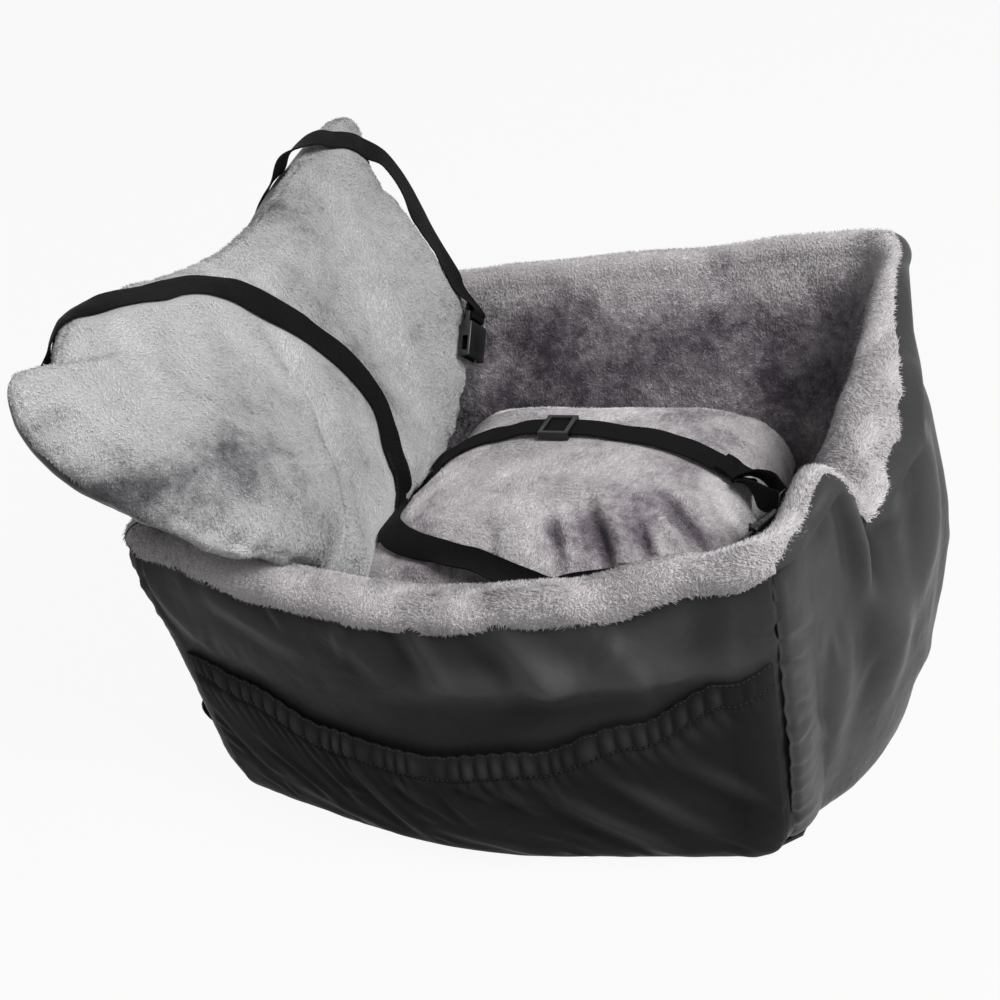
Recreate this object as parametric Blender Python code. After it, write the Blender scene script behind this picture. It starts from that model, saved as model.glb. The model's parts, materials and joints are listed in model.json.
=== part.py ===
# A dog car seat: a padded nylon tub lined with plush, a seat cushion in it, a backrest that
# folds on its sewn foot, two straps with a side-release buckle, and a safety tether that ends
# in a swivel snap hook.
# Metres. +X runs from the backrest to the front, +Y to the far side and +Z up.
# The origin is the middle of the underside.

import math

import bmesh
import bpy
from mathutils import Matrix, Vector
from mathutils.bvhtree import BVHTree

# The tub
BASE_LENGTH = 0.536
BASE_WIDTH = 0.352
REAR_RIM_REACH = {"near": 0.030, "far": 0.036}
FRONT_RIM_REACH = {"near": 0.048, "far": 0.062}
NOSE_REACH = {"near": 0.012, "far": 0.038}
RIM_HEIGHT = 0.330
REAR_CORNER = 0.022
FRONT_CORNER = 0.055
WALL_AT_FLOOR = 0.052
WALL_AT_RIM = 0.017
FRONT_WALL_AT_FLOOR = 0.088
ROLL_HEIGHT = 0.011
FLOOR_HEIGHT = 0.108

# Sheets and the clearance that keeps touching pieces apart
BASE_SHEET = 0.0035
NYLON = 0.0015
PLUSH = 0.0045
FIT = 0.0003
SOFT_FIT = 0.0006
PILLOW_FIT = 0.0012
MITRE_GAP = 0.0016
FILLING_GAP = 0.0030

# How far the middle of each outer wall swells out, at the base, halfway up and at the rim
OUTER_SWELL = {
    "near": (0.030, 0.034, 0.018),
    "front": (0.036, 0.069, 0.036),
    "far": (0.022, 0.030, 0.012),
    "rear": (0.004, 0.008, 0.002),
}
INNER_SWELL = {"near": 0.016, "front": 0.006, "far": 0.010, "rear": 0.002}

# Height of each wall's filling along the wall, from its first corner to its second
TOP_SHARES = {
    "near": ((0, 0.925), (0.10, 0.900), (0.30, 0.855), (0.52, 0.840), (0.75, 0.880), (0.92, 0.990), (1, 1.020)),
    "front": ((0, 1.020), (0.14, 1.010), (0.25, 0.895), (0.42, 0.925), (0.65, 1.000), (0.88, 1.100), (1, 1.115)),
    "far": ((0, 1.115), (0.12, 1.100), (0.35, 1.060), (0.60, 1.040), (0.85, 1.010), (1, 0.985)),
    "rear": ((0, 0.985), (0.20, 0.940), (0.50, 0.915), (0.80, 0.915), (1, 0.925)),
}
SIDES = ("near", "front", "far", "rear")
CORNERS = (REAR_CORNER, FRONT_CORNER, FRONT_CORNER, REAR_CORNER)
CORNER_SHARE = 0.09
SWELL_POWER = 1.3
WALL_STEPS = {"near": 9, "front": 9, "far": 8, "rear": 6}

# The pocket on the near wall
POCKET_MOUTH_SHARES = (
    (0, 0.545), (0.12, 0.500), (0.27, 0.420), (0.45, 0.395), (0.62, 0.430), (0.78, 0.520), (0.92, 0.650), (1, 0.705),
)
POCKET_BELLY = 0.011
POCKET_GAP = 0.0075
POCKET_GATHER = 0.0014
POCKET_REST = 0.0007
POCKET_END_SHARE = 0.984
POCKET_GATHERS = 14
HEM_HEIGHT = 0.016
LINER_FOLD = 0.007
ELASTIC_THICKNESS = 0.0012

# The seat cushion
CUSHION_SEAM_HEIGHT = 0.188
CUSHION_CROWN = 0.084
CUSHION_COVER = 0.004
CUSHION_CENTRE = (0.060, 0.002)
CUSHION_HALF_LENGTH = 0.163
CUSHION_HALF_WIDTH = 0.152
CUSHION_OUTLINE_SHARES = (
    (-0.92, -0.90), (-0.30, -0.98), (0.45, -0.96), (0.86, -0.72), (0.985, -0.20), (0.985, 0.45),
    (0.88, 0.92), (0.35, 1.00), (-0.35, 0.98), (-0.93, 0.90), (-1.00, 0.35), (-1.00, -0.30),
)
CUSHION_PLEATS = 9
CUSHION_PLEAT_DEPTH = 0.0035
CUSHION_LIFT_LEAN = math.radians(14)

# The backrest, in its own plane: along the foot, and up from it
BACKREST_FOOT = (-0.116, 0.206)
BACKREST_LEAN = math.radians(24.5)
BACKREST_HEIGHT = 0.315
BACKREST_HALF_WIDTH = 0.300
BACKREST_CROWN = 0.024
BACKREST_BELLY = 0.066
BACKREST_COVER = 0.004
BACKREST_CURL = 0.050
BACKREST_CENTRE_SHARE = 0.60
CURL_START_SHARE = 0.16
CURL_END_SHARE = 0.62
CURL_TOP_SHARE = 0.86
CURL_FADE_SHARE = 0.50
CURL_FOOT_SHARE = 0.30
BACKREST_OUTLINE_SHARES = (
    (0.00, 0.000), (0.28, 0.000), (0.48, 0.030), (0.57, 0.160), (0.62, 0.320), (0.69, 0.450), (0.79, 0.600),
    (0.88, 0.750), (0.96, 0.880), (0.93, 1.000), (0.55, 0.985), (0.00, 0.930), (-0.50, 0.955), (-0.90, 0.985),
    (-0.98, 0.860), (-0.97, 0.620), (-0.87, 0.440), (-0.72, 0.350), (-0.63, 0.270), (-0.565, 0.130), (-0.46, 0.030),
    (-0.28, 0.000),
)
SEAT_GAP = 0.0003
BOLSTER_HALF_WIDTH = 0.098
BOLSTER_DEPTH = 0.068
BOLSTER_EDGE = 0.006
BOLSTER_ROWS = 9
BOLSTER_COLUMNS = 8

# Webbing
WEBBING_WIDTH = 0.025
WEBBING_THICKNESS = 0.0016
DRAPE_GAP = 0.0008
DRAPE_REACH = 0.090
TILT_SHARE = 0.10
CLOSING_SHARE = 0.6
REAR_LOOP_RISE = 0.046
REAR_LOOP_FOOT = 0.053
REAR_LOOP_TAB = 0.014
REAR_LOOP_REACH = 0.020
REAR_LOOP_PLACE = 0.141

# Routes of the straps over the backrest: along it and up it, both as shares, and the way the strap faces,
# in degrees from straight up (0) towards the front (90) or the back (-90)
NEAR_STRAP_SHARES = (
    (-0.70, 0.74, -90), (-0.70, 0.84, -90), (-0.68, 0.90, -65), (-0.65, 0.925, -25), (-0.60, 0.935, 20),
    (-0.52, 0.930, 60), (-0.40, 0.910, 85), (-0.25, 0.880, 90), (-0.12, 0.765, 90), (-0.01, 0.625, 90),
    (0.065, 0.465, 90), (0.085, 0.310, 90), (0.010, 0.190, 90), (-0.065, 0.105, 90),
)
FAR_STRAP_SHARES = (
    (0.42, 0.74, -90), (0.44, 0.84, -90), (0.48, 0.90, -65), (0.54, 0.93, -25), (0.61, 0.945, 20),
    (0.69, 0.935, 60), (0.77, 0.900, 85), (0.825, 0.820, 90), (0.80, 0.715, 90), (0.725, 0.590, 90),
    (0.66, 0.480, 90), (0.60, 0.390, 90),
)
SOCKET_PLACE_SHARE = (0.515, 0.260)
SOCKET_HEADING = math.radians(226)
# The strap's tail and the tether over the cushion, as shares of its half length and half width from its middle
TAIL_SHARES = (
    (-0.92, -0.30), (-0.90, -0.43), (-0.86, -0.56), (-0.78, -0.67), (-0.66, -0.73), (-0.50, -0.765),
    (-0.32, -0.79), (-0.12, -0.805), (0.08, -0.81), (0.22, -0.80),
)
PLUG_PLACE_SHARE = (0.500, -0.755)
PLUG_HEADING = math.radians(14)
TETHER_SHARES = ((-0.95, 0.13), (-0.83, 0.19), (-0.66, 0.215), (-0.50, 0.22))
SLIDER_PLACE_SHARE = (-0.19, 0.225)
TETHER_AFTER_SHARES = ((0.16, 0.215), (0.30, 0.195), (0.45, 0.155), (0.60, 0.110), (0.72, 0.075), (0.806, 0.055))

# Side-release buckle
SOCKET_LENGTH = 0.044
SOCKET_WIDTH = 0.034
SOCKET_THICKNESS = 0.0115
SOCKET_WALL = 0.0019
SOCKET_DEPTH = 0.028
SOCKET_EDGE = 0.0012
BAR_WIDTH = 0.0042
SLOT_LENGTH = 0.0056
SLOT_WIDTH = 0.0262
WINDOW_LENGTH = 0.014
WINDOW_INSET = 0.0055
LOOP_OVERLAP = 0.009
BAR_DEPTH = 0.0046
PLUG_BASE = 0.016
PLUG_THICKNESS = 0.0046
PLUG_REACH = 0.0235
PRONG_SHARES = (
    (0.90, 0.055), (0.00, 0.055), (0.00, 0.200), (0.86, 0.205), (1.00, 0.275), (0.66, 0.470), (0.64, 0.350),
    (0.12, 0.350), (0.00, 0.470),
)

# Tether slider
SLIDER_LENGTH = 0.028
SLIDER_RAIL = 0.0030
SLIDER_BAR = 0.0040
SLIDER_DEPTH = 0.0024
SLIDER_ROOM = 0.0006
SLIDER_TRAVEL = 0.012

# Snap hook, along its own axis from the eye
EYE_OPENING = 0.0285
EYE_DEPTH = 0.0090
EYE_BAR = 0.0019
POST_RADIUS = 0.0021
POST_LENGTH = 0.0070
POST_HEAD = 0.0033
HEAD_LENGTH = 0.0020
BARREL_RADIUS = 0.0054
BARREL_LENGTH = 0.0300
BARREL_NECK = 0.0030
CHAMBER_LENGTH = 0.0212
BOLT_RADIUS = 0.0023
BOLT_TRAVEL = 0.0085
BOLT_TAIL = 0.0090
HOOK_RADIUS = 0.0098
HOOK_BAR = 0.0025
HOOK_SHARES = (
    (-0.30, -0.34), (0.10, -0.50), (0.42, -0.98), (0.95, -1.42), (1.55, -1.35), (1.92, -0.85), (1.86, -0.30), (1.62, -0.02),
    (1.38, 0.0),
)
SPRING_WIRE = 0.00035
SPRING_TURNS = 7
KNOB_RADIUS = 0.0016
KNOB_RISE = 0.0034
RUNNING = 0.0003
LOOP_BULGE = 0.008
LOOP_RISE = 0.003
# Along the loop from the tether to the eye: how far, how wide it stands, and how far it has turned on edge
LOOP_SHARES = ((0.16, 0.20, 0.25), (0.34, 0.75, 0.65), (0.56, 1.00, 1.00), (0.80, 0.62, 1.00))
EYE_PLACE = (0.2362, -0.0215, 0.2448)
HOOK_HEADING = math.radians(245)


def clear_scene():
    for item in list(bpy.data.objects):
        bpy.data.objects.remove(item)


def material(name, colour, roughness, metallic=0.0):
    made = bpy.data.materials.new(name)
    made.use_nodes = True
    shader = made.node_tree.nodes["Principled BSDF"]
    shader.inputs["Base Color"].default_value = (*colour, 1)
    shader.inputs["Roughness"].default_value = roughness
    shader.inputs["Metallic"].default_value = metallic
    return made


def spread(start, end, count):
    return [start + (end - start) * i / (count - 1) for i in range(count)]


def smooth_between(table, place):
    """A height that eases from each point of the table to the next."""
    for (a, low), (b, high) in zip(table, table[1:]):
        if place <= b:
            t = (place - a) / (b - a)
            return low + (high - low) * t * t * (3 - 2 * t)
    return table[-1][1]


def smooth_line(points, steps, closed=False):
    """Points along a Catmull-Rom curve through the given points."""
    points = [Vector(p) for p in points]
    count = len(points)
    line = []
    for i in range(count if closed else count - 1):
        if closed:
            a, b, c, d = (points[(i + k) % count] for k in (-1, 0, 1, 2))
        else:
            b, c = points[i], points[i + 1]
            a = points[i - 1] if i else b * 2 - c
            d = points[i + 2] if i + 2 < count else c * 2 - b
        for step in range(steps):
            t = step / steps
            line.append(
                (b * 2 + (c - a) * t + (a * 2 - b * 5 + c * 4 - d) * t**2 + (b * 3 - a - c * 3 + d) * t**3) / 2
            )
    if not closed:
        line.append(points[-1])
    return line


def finish_mesh(name, mesh_data, look):
    """Faces outwards, smooth shading, and an object of that name."""
    bmesh.ops.recalc_face_normals(mesh_data, faces=mesh_data.faces)
    mesh = bpy.data.meshes.new(name)
    mesh_data.to_mesh(mesh)
    mesh_data.free()
    mesh.materials.append(look)
    mesh.shade_smooth()
    mesh.set_sharp_from_angle(angle=math.radians(35))
    made = bpy.data.objects.new(name, mesh)
    bpy.context.scene.collection.objects.link(made)
    return made


def loft(name, rings, look, closed=False, triangles=False):
    """A solid through rings of points, with a cap on each end unless it closes on itself. As triangles, neighbouring layers split their quads alike."""
    bm = bmesh.new()
    rows = [[bm.verts.new(p) for p in ring] for ring in rings]
    pairs = list(zip(rows, rows[1:] + rows[:1])) if closed else list(zip(rows, rows[1:]))
    for a, b in pairs:
        for i in range(len(a)):
            j = (i + 1) % len(a)
            quad = (a[i], a[j], b[j], b[i])
            if triangles:
                k = 0 if a[i].co.z <= a[j].co.z else 1
                bm.faces.new((quad[k], quad[k + 1], quad[k + 2]))
                bm.faces.new((quad[k + 2], quad[(k + 3) % 4], quad[k]))
            else:
                bm.faces.new(quad)
    if not closed:
        for row in (list(reversed(rows[0])), rows[-1]):
            if triangles:
                zip_cap(bm, row)
            else:
                bm.faces.new(row)
    return finish_mesh(name, bm, look)


def zip_cap(bm, row):
    """Closes a ring that runs up one side of a strip and down the other, as a ladder of faces across it."""
    count = len(row)
    for i in range(count // 2 - 1):
        bm.faces.new((row[i], row[i + 1], row[count - 2 - i], row[count - 1 - i]))


def turned(name, profile, look, sides=24):
    """A turned solid about its own X axis, from (place, radius) points that start and end on the axis."""
    rings = []
    for place, radius in profile[1:-1]:
        rings.append(
            [
                (place, radius * math.cos(2 * math.pi * i / sides), radius * math.sin(2 * math.pi * i / sides))
                for i in range(sides)
            ]
        )
    return loft(name, rings, look)


def tube(name, line, radius, sides, look, closed=False):
    """A round bar along a line of points."""
    line = [Vector(p) for p in line]
    rings = []
    side = None
    for i, p in enumerate(line):
        before = line[i - 1] if i or closed else p
        after = line[(i + 1) % len(line)] if i + 1 < len(line) or closed else p
        along = (after - before).normalized()
        if side is None:
            side = along.orthogonal().normalized()
        side = (side - along * side.dot(along)).normalized()
        up = along.cross(side)
        rings.append(
            [
                p + (side * math.cos(2 * math.pi * k / sides) + up * math.sin(2 * math.pi * k / sides)) * radius
                for k in range(sides)
            ]
        )
    return loft(name, rings, look, closed)


def block(name, low, high, look, edge=0.0, segments=2):
    """A box between two corners, with its edges rounded by a Bevel modifier."""
    bm = bmesh.new()
    bmesh.ops.create_cube(bm, size=1)
    size = [b - a for a, b in zip(low, high)]
    middle = [(a + b) / 2 for a, b in zip(low, high)]
    bmesh.ops.scale(bm, vec=size, verts=bm.verts)
    bmesh.ops.translate(bm, vec=middle, verts=bm.verts)
    made = finish_mesh(name, bm, look)
    if edge:
        bevel = made.modifiers.new("Bevel", "BEVEL")
        bevel.width = edge
        bevel.segments = segments
    return made


def plate(name, outline, low, high, look, edge=0.0):
    """A flat outline in X and Y, extruded from low to high."""
    made = loft(name, [[(x, y, low) for x, y in outline], [(x, y, high) for x, y in outline]], look)
    if edge:
        bevel = made.modifiers.new("Bevel", "BEVEL")
        bevel.width = edge
        bevel.segments = 1
        bevel.limit_method = "ANGLE"
    return made


def combine(target, other, operation):
    """Adds or cuts another object, which stays as a hidden helper."""
    other.hide_render = True
    other.display_type = "WIRE"
    other.name = f"{target.name}_{operation.lower()}"
    change = target.modifiers.new(operation.title(), "BOOLEAN")
    change.operation = operation
    change.object = other
    other.parent = target


def mirrored(outline):
    return outline + [(x, -y) for x, y in reversed(outline)]


# Plan of the tub


def level_of(height):
    return max(0.0, height / RIM_HEIGHT)


def outer_corners(height):
    """The tub's four corners at a height, as sharp ones: rear near, front near, front far, rear far."""
    level = level_of(height)
    rear, front, half = -BASE_LENGTH / 2, BASE_LENGTH / 2, BASE_WIDTH / 2
    return [
        Vector((rear, -half - REAR_RIM_REACH["near"] * level)),
        Vector((front + NOSE_REACH["near"] * level, -half - FRONT_RIM_REACH["near"] * level)),
        Vector((front + NOSE_REACH["far"] * level, half + FRONT_RIM_REACH["far"] * level)),
        Vector((rear, half + REAR_RIM_REACH["far"] * level)),
    ]


def inner_corners(height):
    level = min(1.0, level_of(height))
    wall = WALL_AT_FLOOR + (WALL_AT_RIM - WALL_AT_FLOOR) * level
    front_wall = FRONT_WALL_AT_FLOOR + (WALL_AT_RIM - FRONT_WALL_AT_FLOOR) * level
    a, b, c, d = outer_corners(height)
    return [
        a + Vector((WALL_AT_RIM, wall)),
        b + Vector((-front_wall, wall)),
        c + Vector((-front_wall, -wall)),
        d + Vector((WALL_AT_RIM, -wall)),
    ]


def swell_at(side, height):
    base, middle, rim = OUTER_SWELL[side]
    level = min(1.0, level_of(height))
    return base * (1 - level) * (1 - 2 * level) + middle * 4 * level * (1 - level) + rim * level * (2 * level - 1)


def plan_point(corners, swell, side, place):
    """A point on one side of a rounded outline: place runs from the middle of one corner to the middle of the next."""
    k = SIDES.index(side)
    before, start, end, after = (corners[(k + i) % len(corners)] for i in (-1, 0, 1, 2))
    first_radius, last_radius = CORNERS[k], CORNERS[(k + 1) % len(CORNERS)]
    along = (end - start).normalized()
    first, last = start + along * first_radius, end - along * last_radius
    if place < CORNER_SHARE:
        t = 0.5 + 0.5 * place / CORNER_SHARE
        a, b, c = start + (before - start).normalized() * first_radius, start, first
    elif place > 1 - CORNER_SHARE:
        t = 0.5 * (place - 1 + CORNER_SHARE) / CORNER_SHARE
        a, b, c = last, end, end + (after - end).normalized() * last_radius
    else:
        q = (place - CORNER_SHARE) / (1 - 2 * CORNER_SHARE)
        outward = Vector((along.y, -along.x))
        return first.lerp(last, q) + outward * swell * math.sin(math.pi * q) ** SWELL_POWER
    return a * (1 - t) ** 2 + b * 2 * t * (1 - t) + c * t**2


def outer_point(side, place, height):
    p = plan_point(outer_corners(height), swell_at(side, height), side, place)
    return Vector((p.x, p.y, height))


def inner_point(side, place, height):
    p = plan_point(inner_corners(height), INNER_SWELL[side], side, place)
    return Vector((p.x, p.y, height))


def wall_places(side):
    """Stations along a wall, a little short of the middle of each corner."""
    k = SIDES.index(side)
    first, last = (CORNER_SHARE * MITRE_GAP / CORNERS[i % len(CORNERS)] for i in (k, k + 1))
    straight = spread(CORNER_SHARE, 1 - CORNER_SHARE, WALL_STEPS[side])
    return [first, CORNER_SHARE / 2] + straight + [1 - CORNER_SHARE / 2, 1 - last]


def wall_height(side, place):
    return RIM_HEIGHT * smooth_between(TOP_SHARES[side], place)


OUTER_LEVELS = 6
ROLL_ANGLES = (150, 120, 90, 60, 30)
INNER_LEVELS = 4


def wall_section(side, place):
    """The outside of a wall's filling: its outer side upwards, its rolled top, and its inner side downwards, as points and directions."""
    crown = wall_height(side, place) - ROLL_HEIGHT
    outer_top, inner_top = outer_point(side, place, crown), inner_point(side, place, crown)
    inward = (inner_top - outer_top).normalized()
    middle, half = (outer_top + inner_top) / 2, (inner_top - outer_top).length / 2
    levels = spread(BASE_SHEET + FIT, crown - LINER_FOLD, OUTER_LEVELS - 1) + [crown]
    outer = [(outer_point(side, place, z), -inward) for z in levels]
    roll = []
    for angle in ROLL_ANGLES:
        turn = math.radians(angle)
        away = inward * math.cos(turn) + Vector((0, 0, math.sin(turn)))
        roll.append((middle + inward * half * math.cos(turn) + Vector((0, 0, ROLL_HEIGHT * math.sin(turn))), away))
    inner = [(inner_point(side, place, z), inward) for z in spread(crown, FLOOR_HEIGHT, INNER_LEVELS)]
    return outer, roll, inner


def moved(section, distance):
    return [p + away * distance for p, away in section]


def make_walls(nylon, plush, foam):
    made = {}
    cover = FIT + NYLON + SOFT_FIT
    for side in SIDES:
        shell, filling, liner = [], [], []
        for place in wall_places(side):
            outer, roll, inner = wall_section(side, place)
            shell.append(moved(outer, FIT) + list(reversed(moved(outer, FIT + NYLON))))
            skin = outer[-2:] + roll + inner
            liner.append(moved(skin, cover) + list(reversed(moved(skin, cover + PLUSH))))
            foot = inner[-1][0].copy()
            foot.z = BASE_SHEET + FIT
            filling.append(moved(outer, 0) + moved(roll, NYLON) + moved(inner, NYLON) + [foot + inner[-1][1] * NYLON])
        for end, inside in ((0, 1), (-1, -2)):
            back = FILLING_GAP / (filling[inside][0] - filling[end][0]).length
            filling[end] = [p.lerp(q, back) for p, q in zip(filling[end], filling[inside])]
        made[side] = (
            loft(f"shell_{side}", shell, nylon, triangles=True),
            loft(f"filling_{side}", filling, foam, triangles=True),
            loft(f"liner_{side}", liner, plush, triangles=True),
        )
    return made


def ring_outline(point, height, inset):
    """The whole plan outline at a height, drawn in by an inset."""
    points = []
    for side in SIDES:
        for place in wall_places(side)[1:-1]:
            points.append(point(side, place, height))
    drawn = []
    for i, p in enumerate(points):
        along = (points[(i + 1) % len(points)] - points[i - 1]).normalized()
        drawn.append((p.x - along.y * inset, p.y + along.x * inset))
    return drawn


def make_base(rubber, foam, plush):
    edge = ring_outline(outer_point, 0, -NYLON - FIT)
    plate("base_panel", edge, 0, BASE_SHEET, rubber)
    inside = ring_outline(inner_point, FLOOR_HEIGHT, NYLON + FIT)
    plate("base_filling", inside, BASE_SHEET + FIT, FLOOR_HEIGHT - PLUSH - FIT, foam)
    lined = ring_outline(inner_point, FLOOR_HEIGHT, NYLON + FIT + FIT)
    plate("floor_liner", lined, FLOOR_HEIGHT - PLUSH, FLOOR_HEIGHT - FIT, plush)


def make_pocket(nylon, elastic):
    """A gathered panel on the near wall, with a hem at its mouth and the elastic in the hem."""
    places = spread(CORNER_SHARE, POCKET_END_SHARE, POCKET_GATHERS * 3 + 1)
    skin = FIT + NYLON + FIT
    levels = 6
    panel, hem, band = [], [], []
    for place in places:
        q = (place - places[0]) / (places[-1] - places[0])
        mouth = RIM_HEIGHT * smooth_between(POCKET_MOUTH_SHARES, q)
        ends = math.sin(math.pi * q) ** 0.5 if 0 < q < 1 else 0.0
        wave = POCKET_GATHER * math.cos(2 * math.pi * POCKET_GATHERS * q) * ends
        ring = []
        for z in spread(BASE_SHEET + FIT, mouth, levels):
            up = (z - BASE_SHEET) / (mouth - BASE_SHEET)
            stand = POCKET_BELLY * 4 * up * (1 - up) * ends + (POCKET_GAP * ends + wave) * up**2
            ring.append(outer_point("near", place, z) - Vector((0, skin + POCKET_REST + stand, 0)))
        away = Vector((0, -NYLON, 0))
        panel.append(ring + [p + away for p in reversed(ring)])
        slope = (ring[-1] - ring[-2]) * (HEM_HEIGHT / (ring[-1] - ring[-2]).length)
        clear = Vector((0, -NYLON - FIT, 0))
        low, high = ring[-1] - slope + clear, ring[-1] + clear
        room = Vector((0, -ELASTIC_THICKNESS - FIT * 2, 0))
        up = Vector((0, 0, FIT))
        over = Vector((0, 0, FIT + NYLON))
        hem.append(
            [high + room + up, low + room, low + room + away, high + room + away + over, ring[-1] + over, ring[-1] + up]
        )
        band.append(
            [
                low + Vector((0, -FIT, 0)),
                high + Vector((0, -FIT, 0)),
                high + Vector((0, -FIT - ELASTIC_THICKNESS, 0)),
                low + Vector((0, -FIT - ELASTIC_THICKNESS, 0)),
            ]
        )
    return (
        loft("pocket_panel", panel, nylon),
        loft("pocket_hem", hem, nylon),
        loft("pocket_elastic", band, elastic),
    )


# Cushions


def inset_outline(outline, inset):
    drawn = []
    count = len(outline)
    for i, (x, y) in enumerate(outline):
        ahead, behind = outline[(i + 1) % count], outline[i - 1]
        along = Vector((ahead[0] - behind[0], ahead[1] - behind[1])).normalized()
        drawn.append((x - along.y * inset, y + along.x * inset))
    return drawn


RING_SHARES = (0.18, 0.38, 0.57, 0.74, 0.88, 0.96)
DOME_POWER = 3.4
DOME_ROUNDING = 0.48


def dome(outline, centre, crown, place, extra=None):
    """Rings of a domed surface over an outline, from the middle out, with the seam's ring last."""
    rings = [[place(*centre, crown + (extra(*centre, 0) if extra else 0))]]
    for share in RING_SHARES:
        height = crown * (1 - share**DOME_POWER) ** DOME_ROUNDING
        ring = []
        for x, y in outline:
            px, py = centre[0] + (x - centre[0]) * share, centre[1] + (y - centre[1]) * share
            ring.append(place(px, py, height + (extra(px, py, share) if extra else 0)))
        rings.append(ring)
    return rings


def dome_shell(name, outline, centre, crown, thickness, place, look, extra=None):
    """A cushion's cover on one side of its seam: an outer dome, an inner one, and the seam's flat edge."""
    sign = 1 if crown > 0 else -1
    seam = FIT / 2 * sign
    inner_line = inset_outline(outline, thickness)
    outer = dome(outline, centre, crown, place, extra)
    inner = dome(inner_line, centre, crown - thickness * sign, place, extra)
    outer.append([place(x, y, seam) for x, y in outline])
    inner.append([place(x, y, seam) for x, y in inner_line])
    return stacked(name, [outer, inner], look)


def stacked(name, domes, look):
    """One closed solid from two domes whose last rings meet, or are joined by a band."""
    bm = bmesh.new()
    edges = []
    for rings in domes:
        tip = bm.verts.new(rings[0][0])
        rows = [[bm.verts.new(p) for p in ring] for ring in rings[1:]]
        count = len(rows[0])
        for i in range(count):
            bm.faces.new((tip, rows[0][i], rows[0][(i + 1) % count]))
        for a, b in zip(rows, rows[1:]):
            for i in range(count):
                j = (i + 1) % count
                bm.faces.new((a[i], b[i], b[j]))
                bm.faces.new((b[j], a[j], a[i]))
        edges.append(rows[-1])
    first, second = edges
    count = len(first)
    for i in range(count):
        j = (i + 1) % count
        bm.faces.new((first[i], second[i], second[j], first[j]))
    return finish_mesh(name, bm, look)


def dome_filling(name, outline, centre, crown, belly, thickness, place, look, extra=None):
    """A cushion's filling, which fits inside both covers."""
    inset = thickness + PILLOW_FIT
    line = inset_outline(outline, inset)
    top = dome(line, centre, crown - inset, place, extra)
    bottom = dome(line, centre, belly + inset, place, None)
    top.append([place(x, y, FIT / 2) for x, y in line])
    bottom.append([place(x, y, -FIT / 2) for x, y in line])
    return stacked(name, [top, bottom], look)


def cushion_outline():
    shares = smooth_line(CUSHION_OUTLINE_SHARES, 3, closed=True)
    x0, y0 = CUSHION_CENTRE
    return [(x0 + s.x * CUSHION_HALF_LENGTH, y0 + s.y * CUSHION_HALF_WIDTH) for s in (Vector((*p, 0)) for p in shares)]


def pleats(x, y, share):
    """The gathers that run in from the near front corner of the cushion."""
    x0, y0 = CUSHION_CENTRE
    turn = math.atan2(y - y0, x - x0)
    middle, half = math.radians(-75), math.radians(62)
    across = (turn - middle) / half
    if abs(across) >= 1 or share < 0.3:
        return 0.0
    fade = (1 - across**2) * math.sin(math.pi * min(1.0, (share - 0.3) / 0.7))
    return CUSHION_PLEAT_DEPTH * fade * math.cos(math.pi * CUSHION_PLEATS * across)


def make_cushion(plush, nylon, foam):
    outline = cushion_outline()
    belly = CUSHION_SEAM_HEIGHT - FLOOR_HEIGHT

    def place(x, y, z):
        return Vector((x, y, CUSHION_SEAM_HEIGHT + z))

    top = dome_shell("cushion_top_cover", outline, CUSHION_CENTRE, CUSHION_CROWN, CUSHION_COVER, place, plush, pleats)
    bottom = dome_shell("cushion_bottom_cover", outline, CUSHION_CENTRE, -belly, CUSHION_COVER, place, nylon)
    filling = dome_filling(
        "cushion_filling", outline, CUSHION_CENTRE, CUSHION_CROWN, -belly, CUSHION_COVER, place, foam, pleats
    )
    return top, bottom, filling


# Straps laid on the padding


def surface_trees(pieces):
    trees = []
    for piece in pieces:
        mesh = piece.data
        trees.append(BVHTree.FromPolygons([v.co for v in mesh.vertices], [tuple(p.vertices) for p in mesh.polygons]))
    return trees


def surface_at(trees, point, facing):
    """The outermost point of the padding on the line through a point along the way the strap faces."""
    start = point + facing * DRAPE_REACH
    best = None
    for tree in trees:
        hit, _, _, distance = tree.ray_cast(start, -facing, DRAPE_REACH * 2)
        if hit is not None and (best is None or distance < best[1]):
            best = (hit, distance)
    return best[0] if best else None


def strap_rows(trees, stations):
    """Rows of three points, edge, middle and edge, resting on the padding and pulled straight over its hollows."""
    middles = [surface_at(trees, p, facing) or p for p, facing in stations]
    last = len(stations) - 1
    rows = []
    for k, (middle, (_, facing)) in enumerate(zip(middles, stations)):
        along = (middles[min(k + 1, last)] - middles[max(k - 1, 0)]).normalized()
        across = facing.cross(along).normalized() * (WEBBING_WIDTH / 2)
        rows.append([[middle + across * side, facing] for side in (-1, 0, 1)])
    for row in rows:
        for spot in row:
            hit = surface_at(trees, *spot)
            if hit is not None:
                spot[0] = hit + spot[1] * DRAPE_GAP
    for _ in range(12):
        for before, row, after in zip(rows, rows[1:], rows[2:]):
            for low, spot, high in zip(before, row, after):
                lift = ((low[0] + high[0]) / 2 - spot[0]).dot(spot[1])
                if lift > 0:
                    spot[0] = spot[0] + spot[1] * lift
    for _ in range(6):
        for row in rows:
            level = max(spot[0].dot(spot[1]) for spot in row) - WEBBING_WIDTH * TILT_SHARE
            for spot in row:
                spot[0] = spot[0] + spot[1] * max(0.0, level - spot[0].dot(spot[1]))
        for row, after in zip(rows, rows[1:]):
            clear_between(trees, row, after)
    return [([spot[0] for spot in row], row[1][1]) for row in rows]


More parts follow.
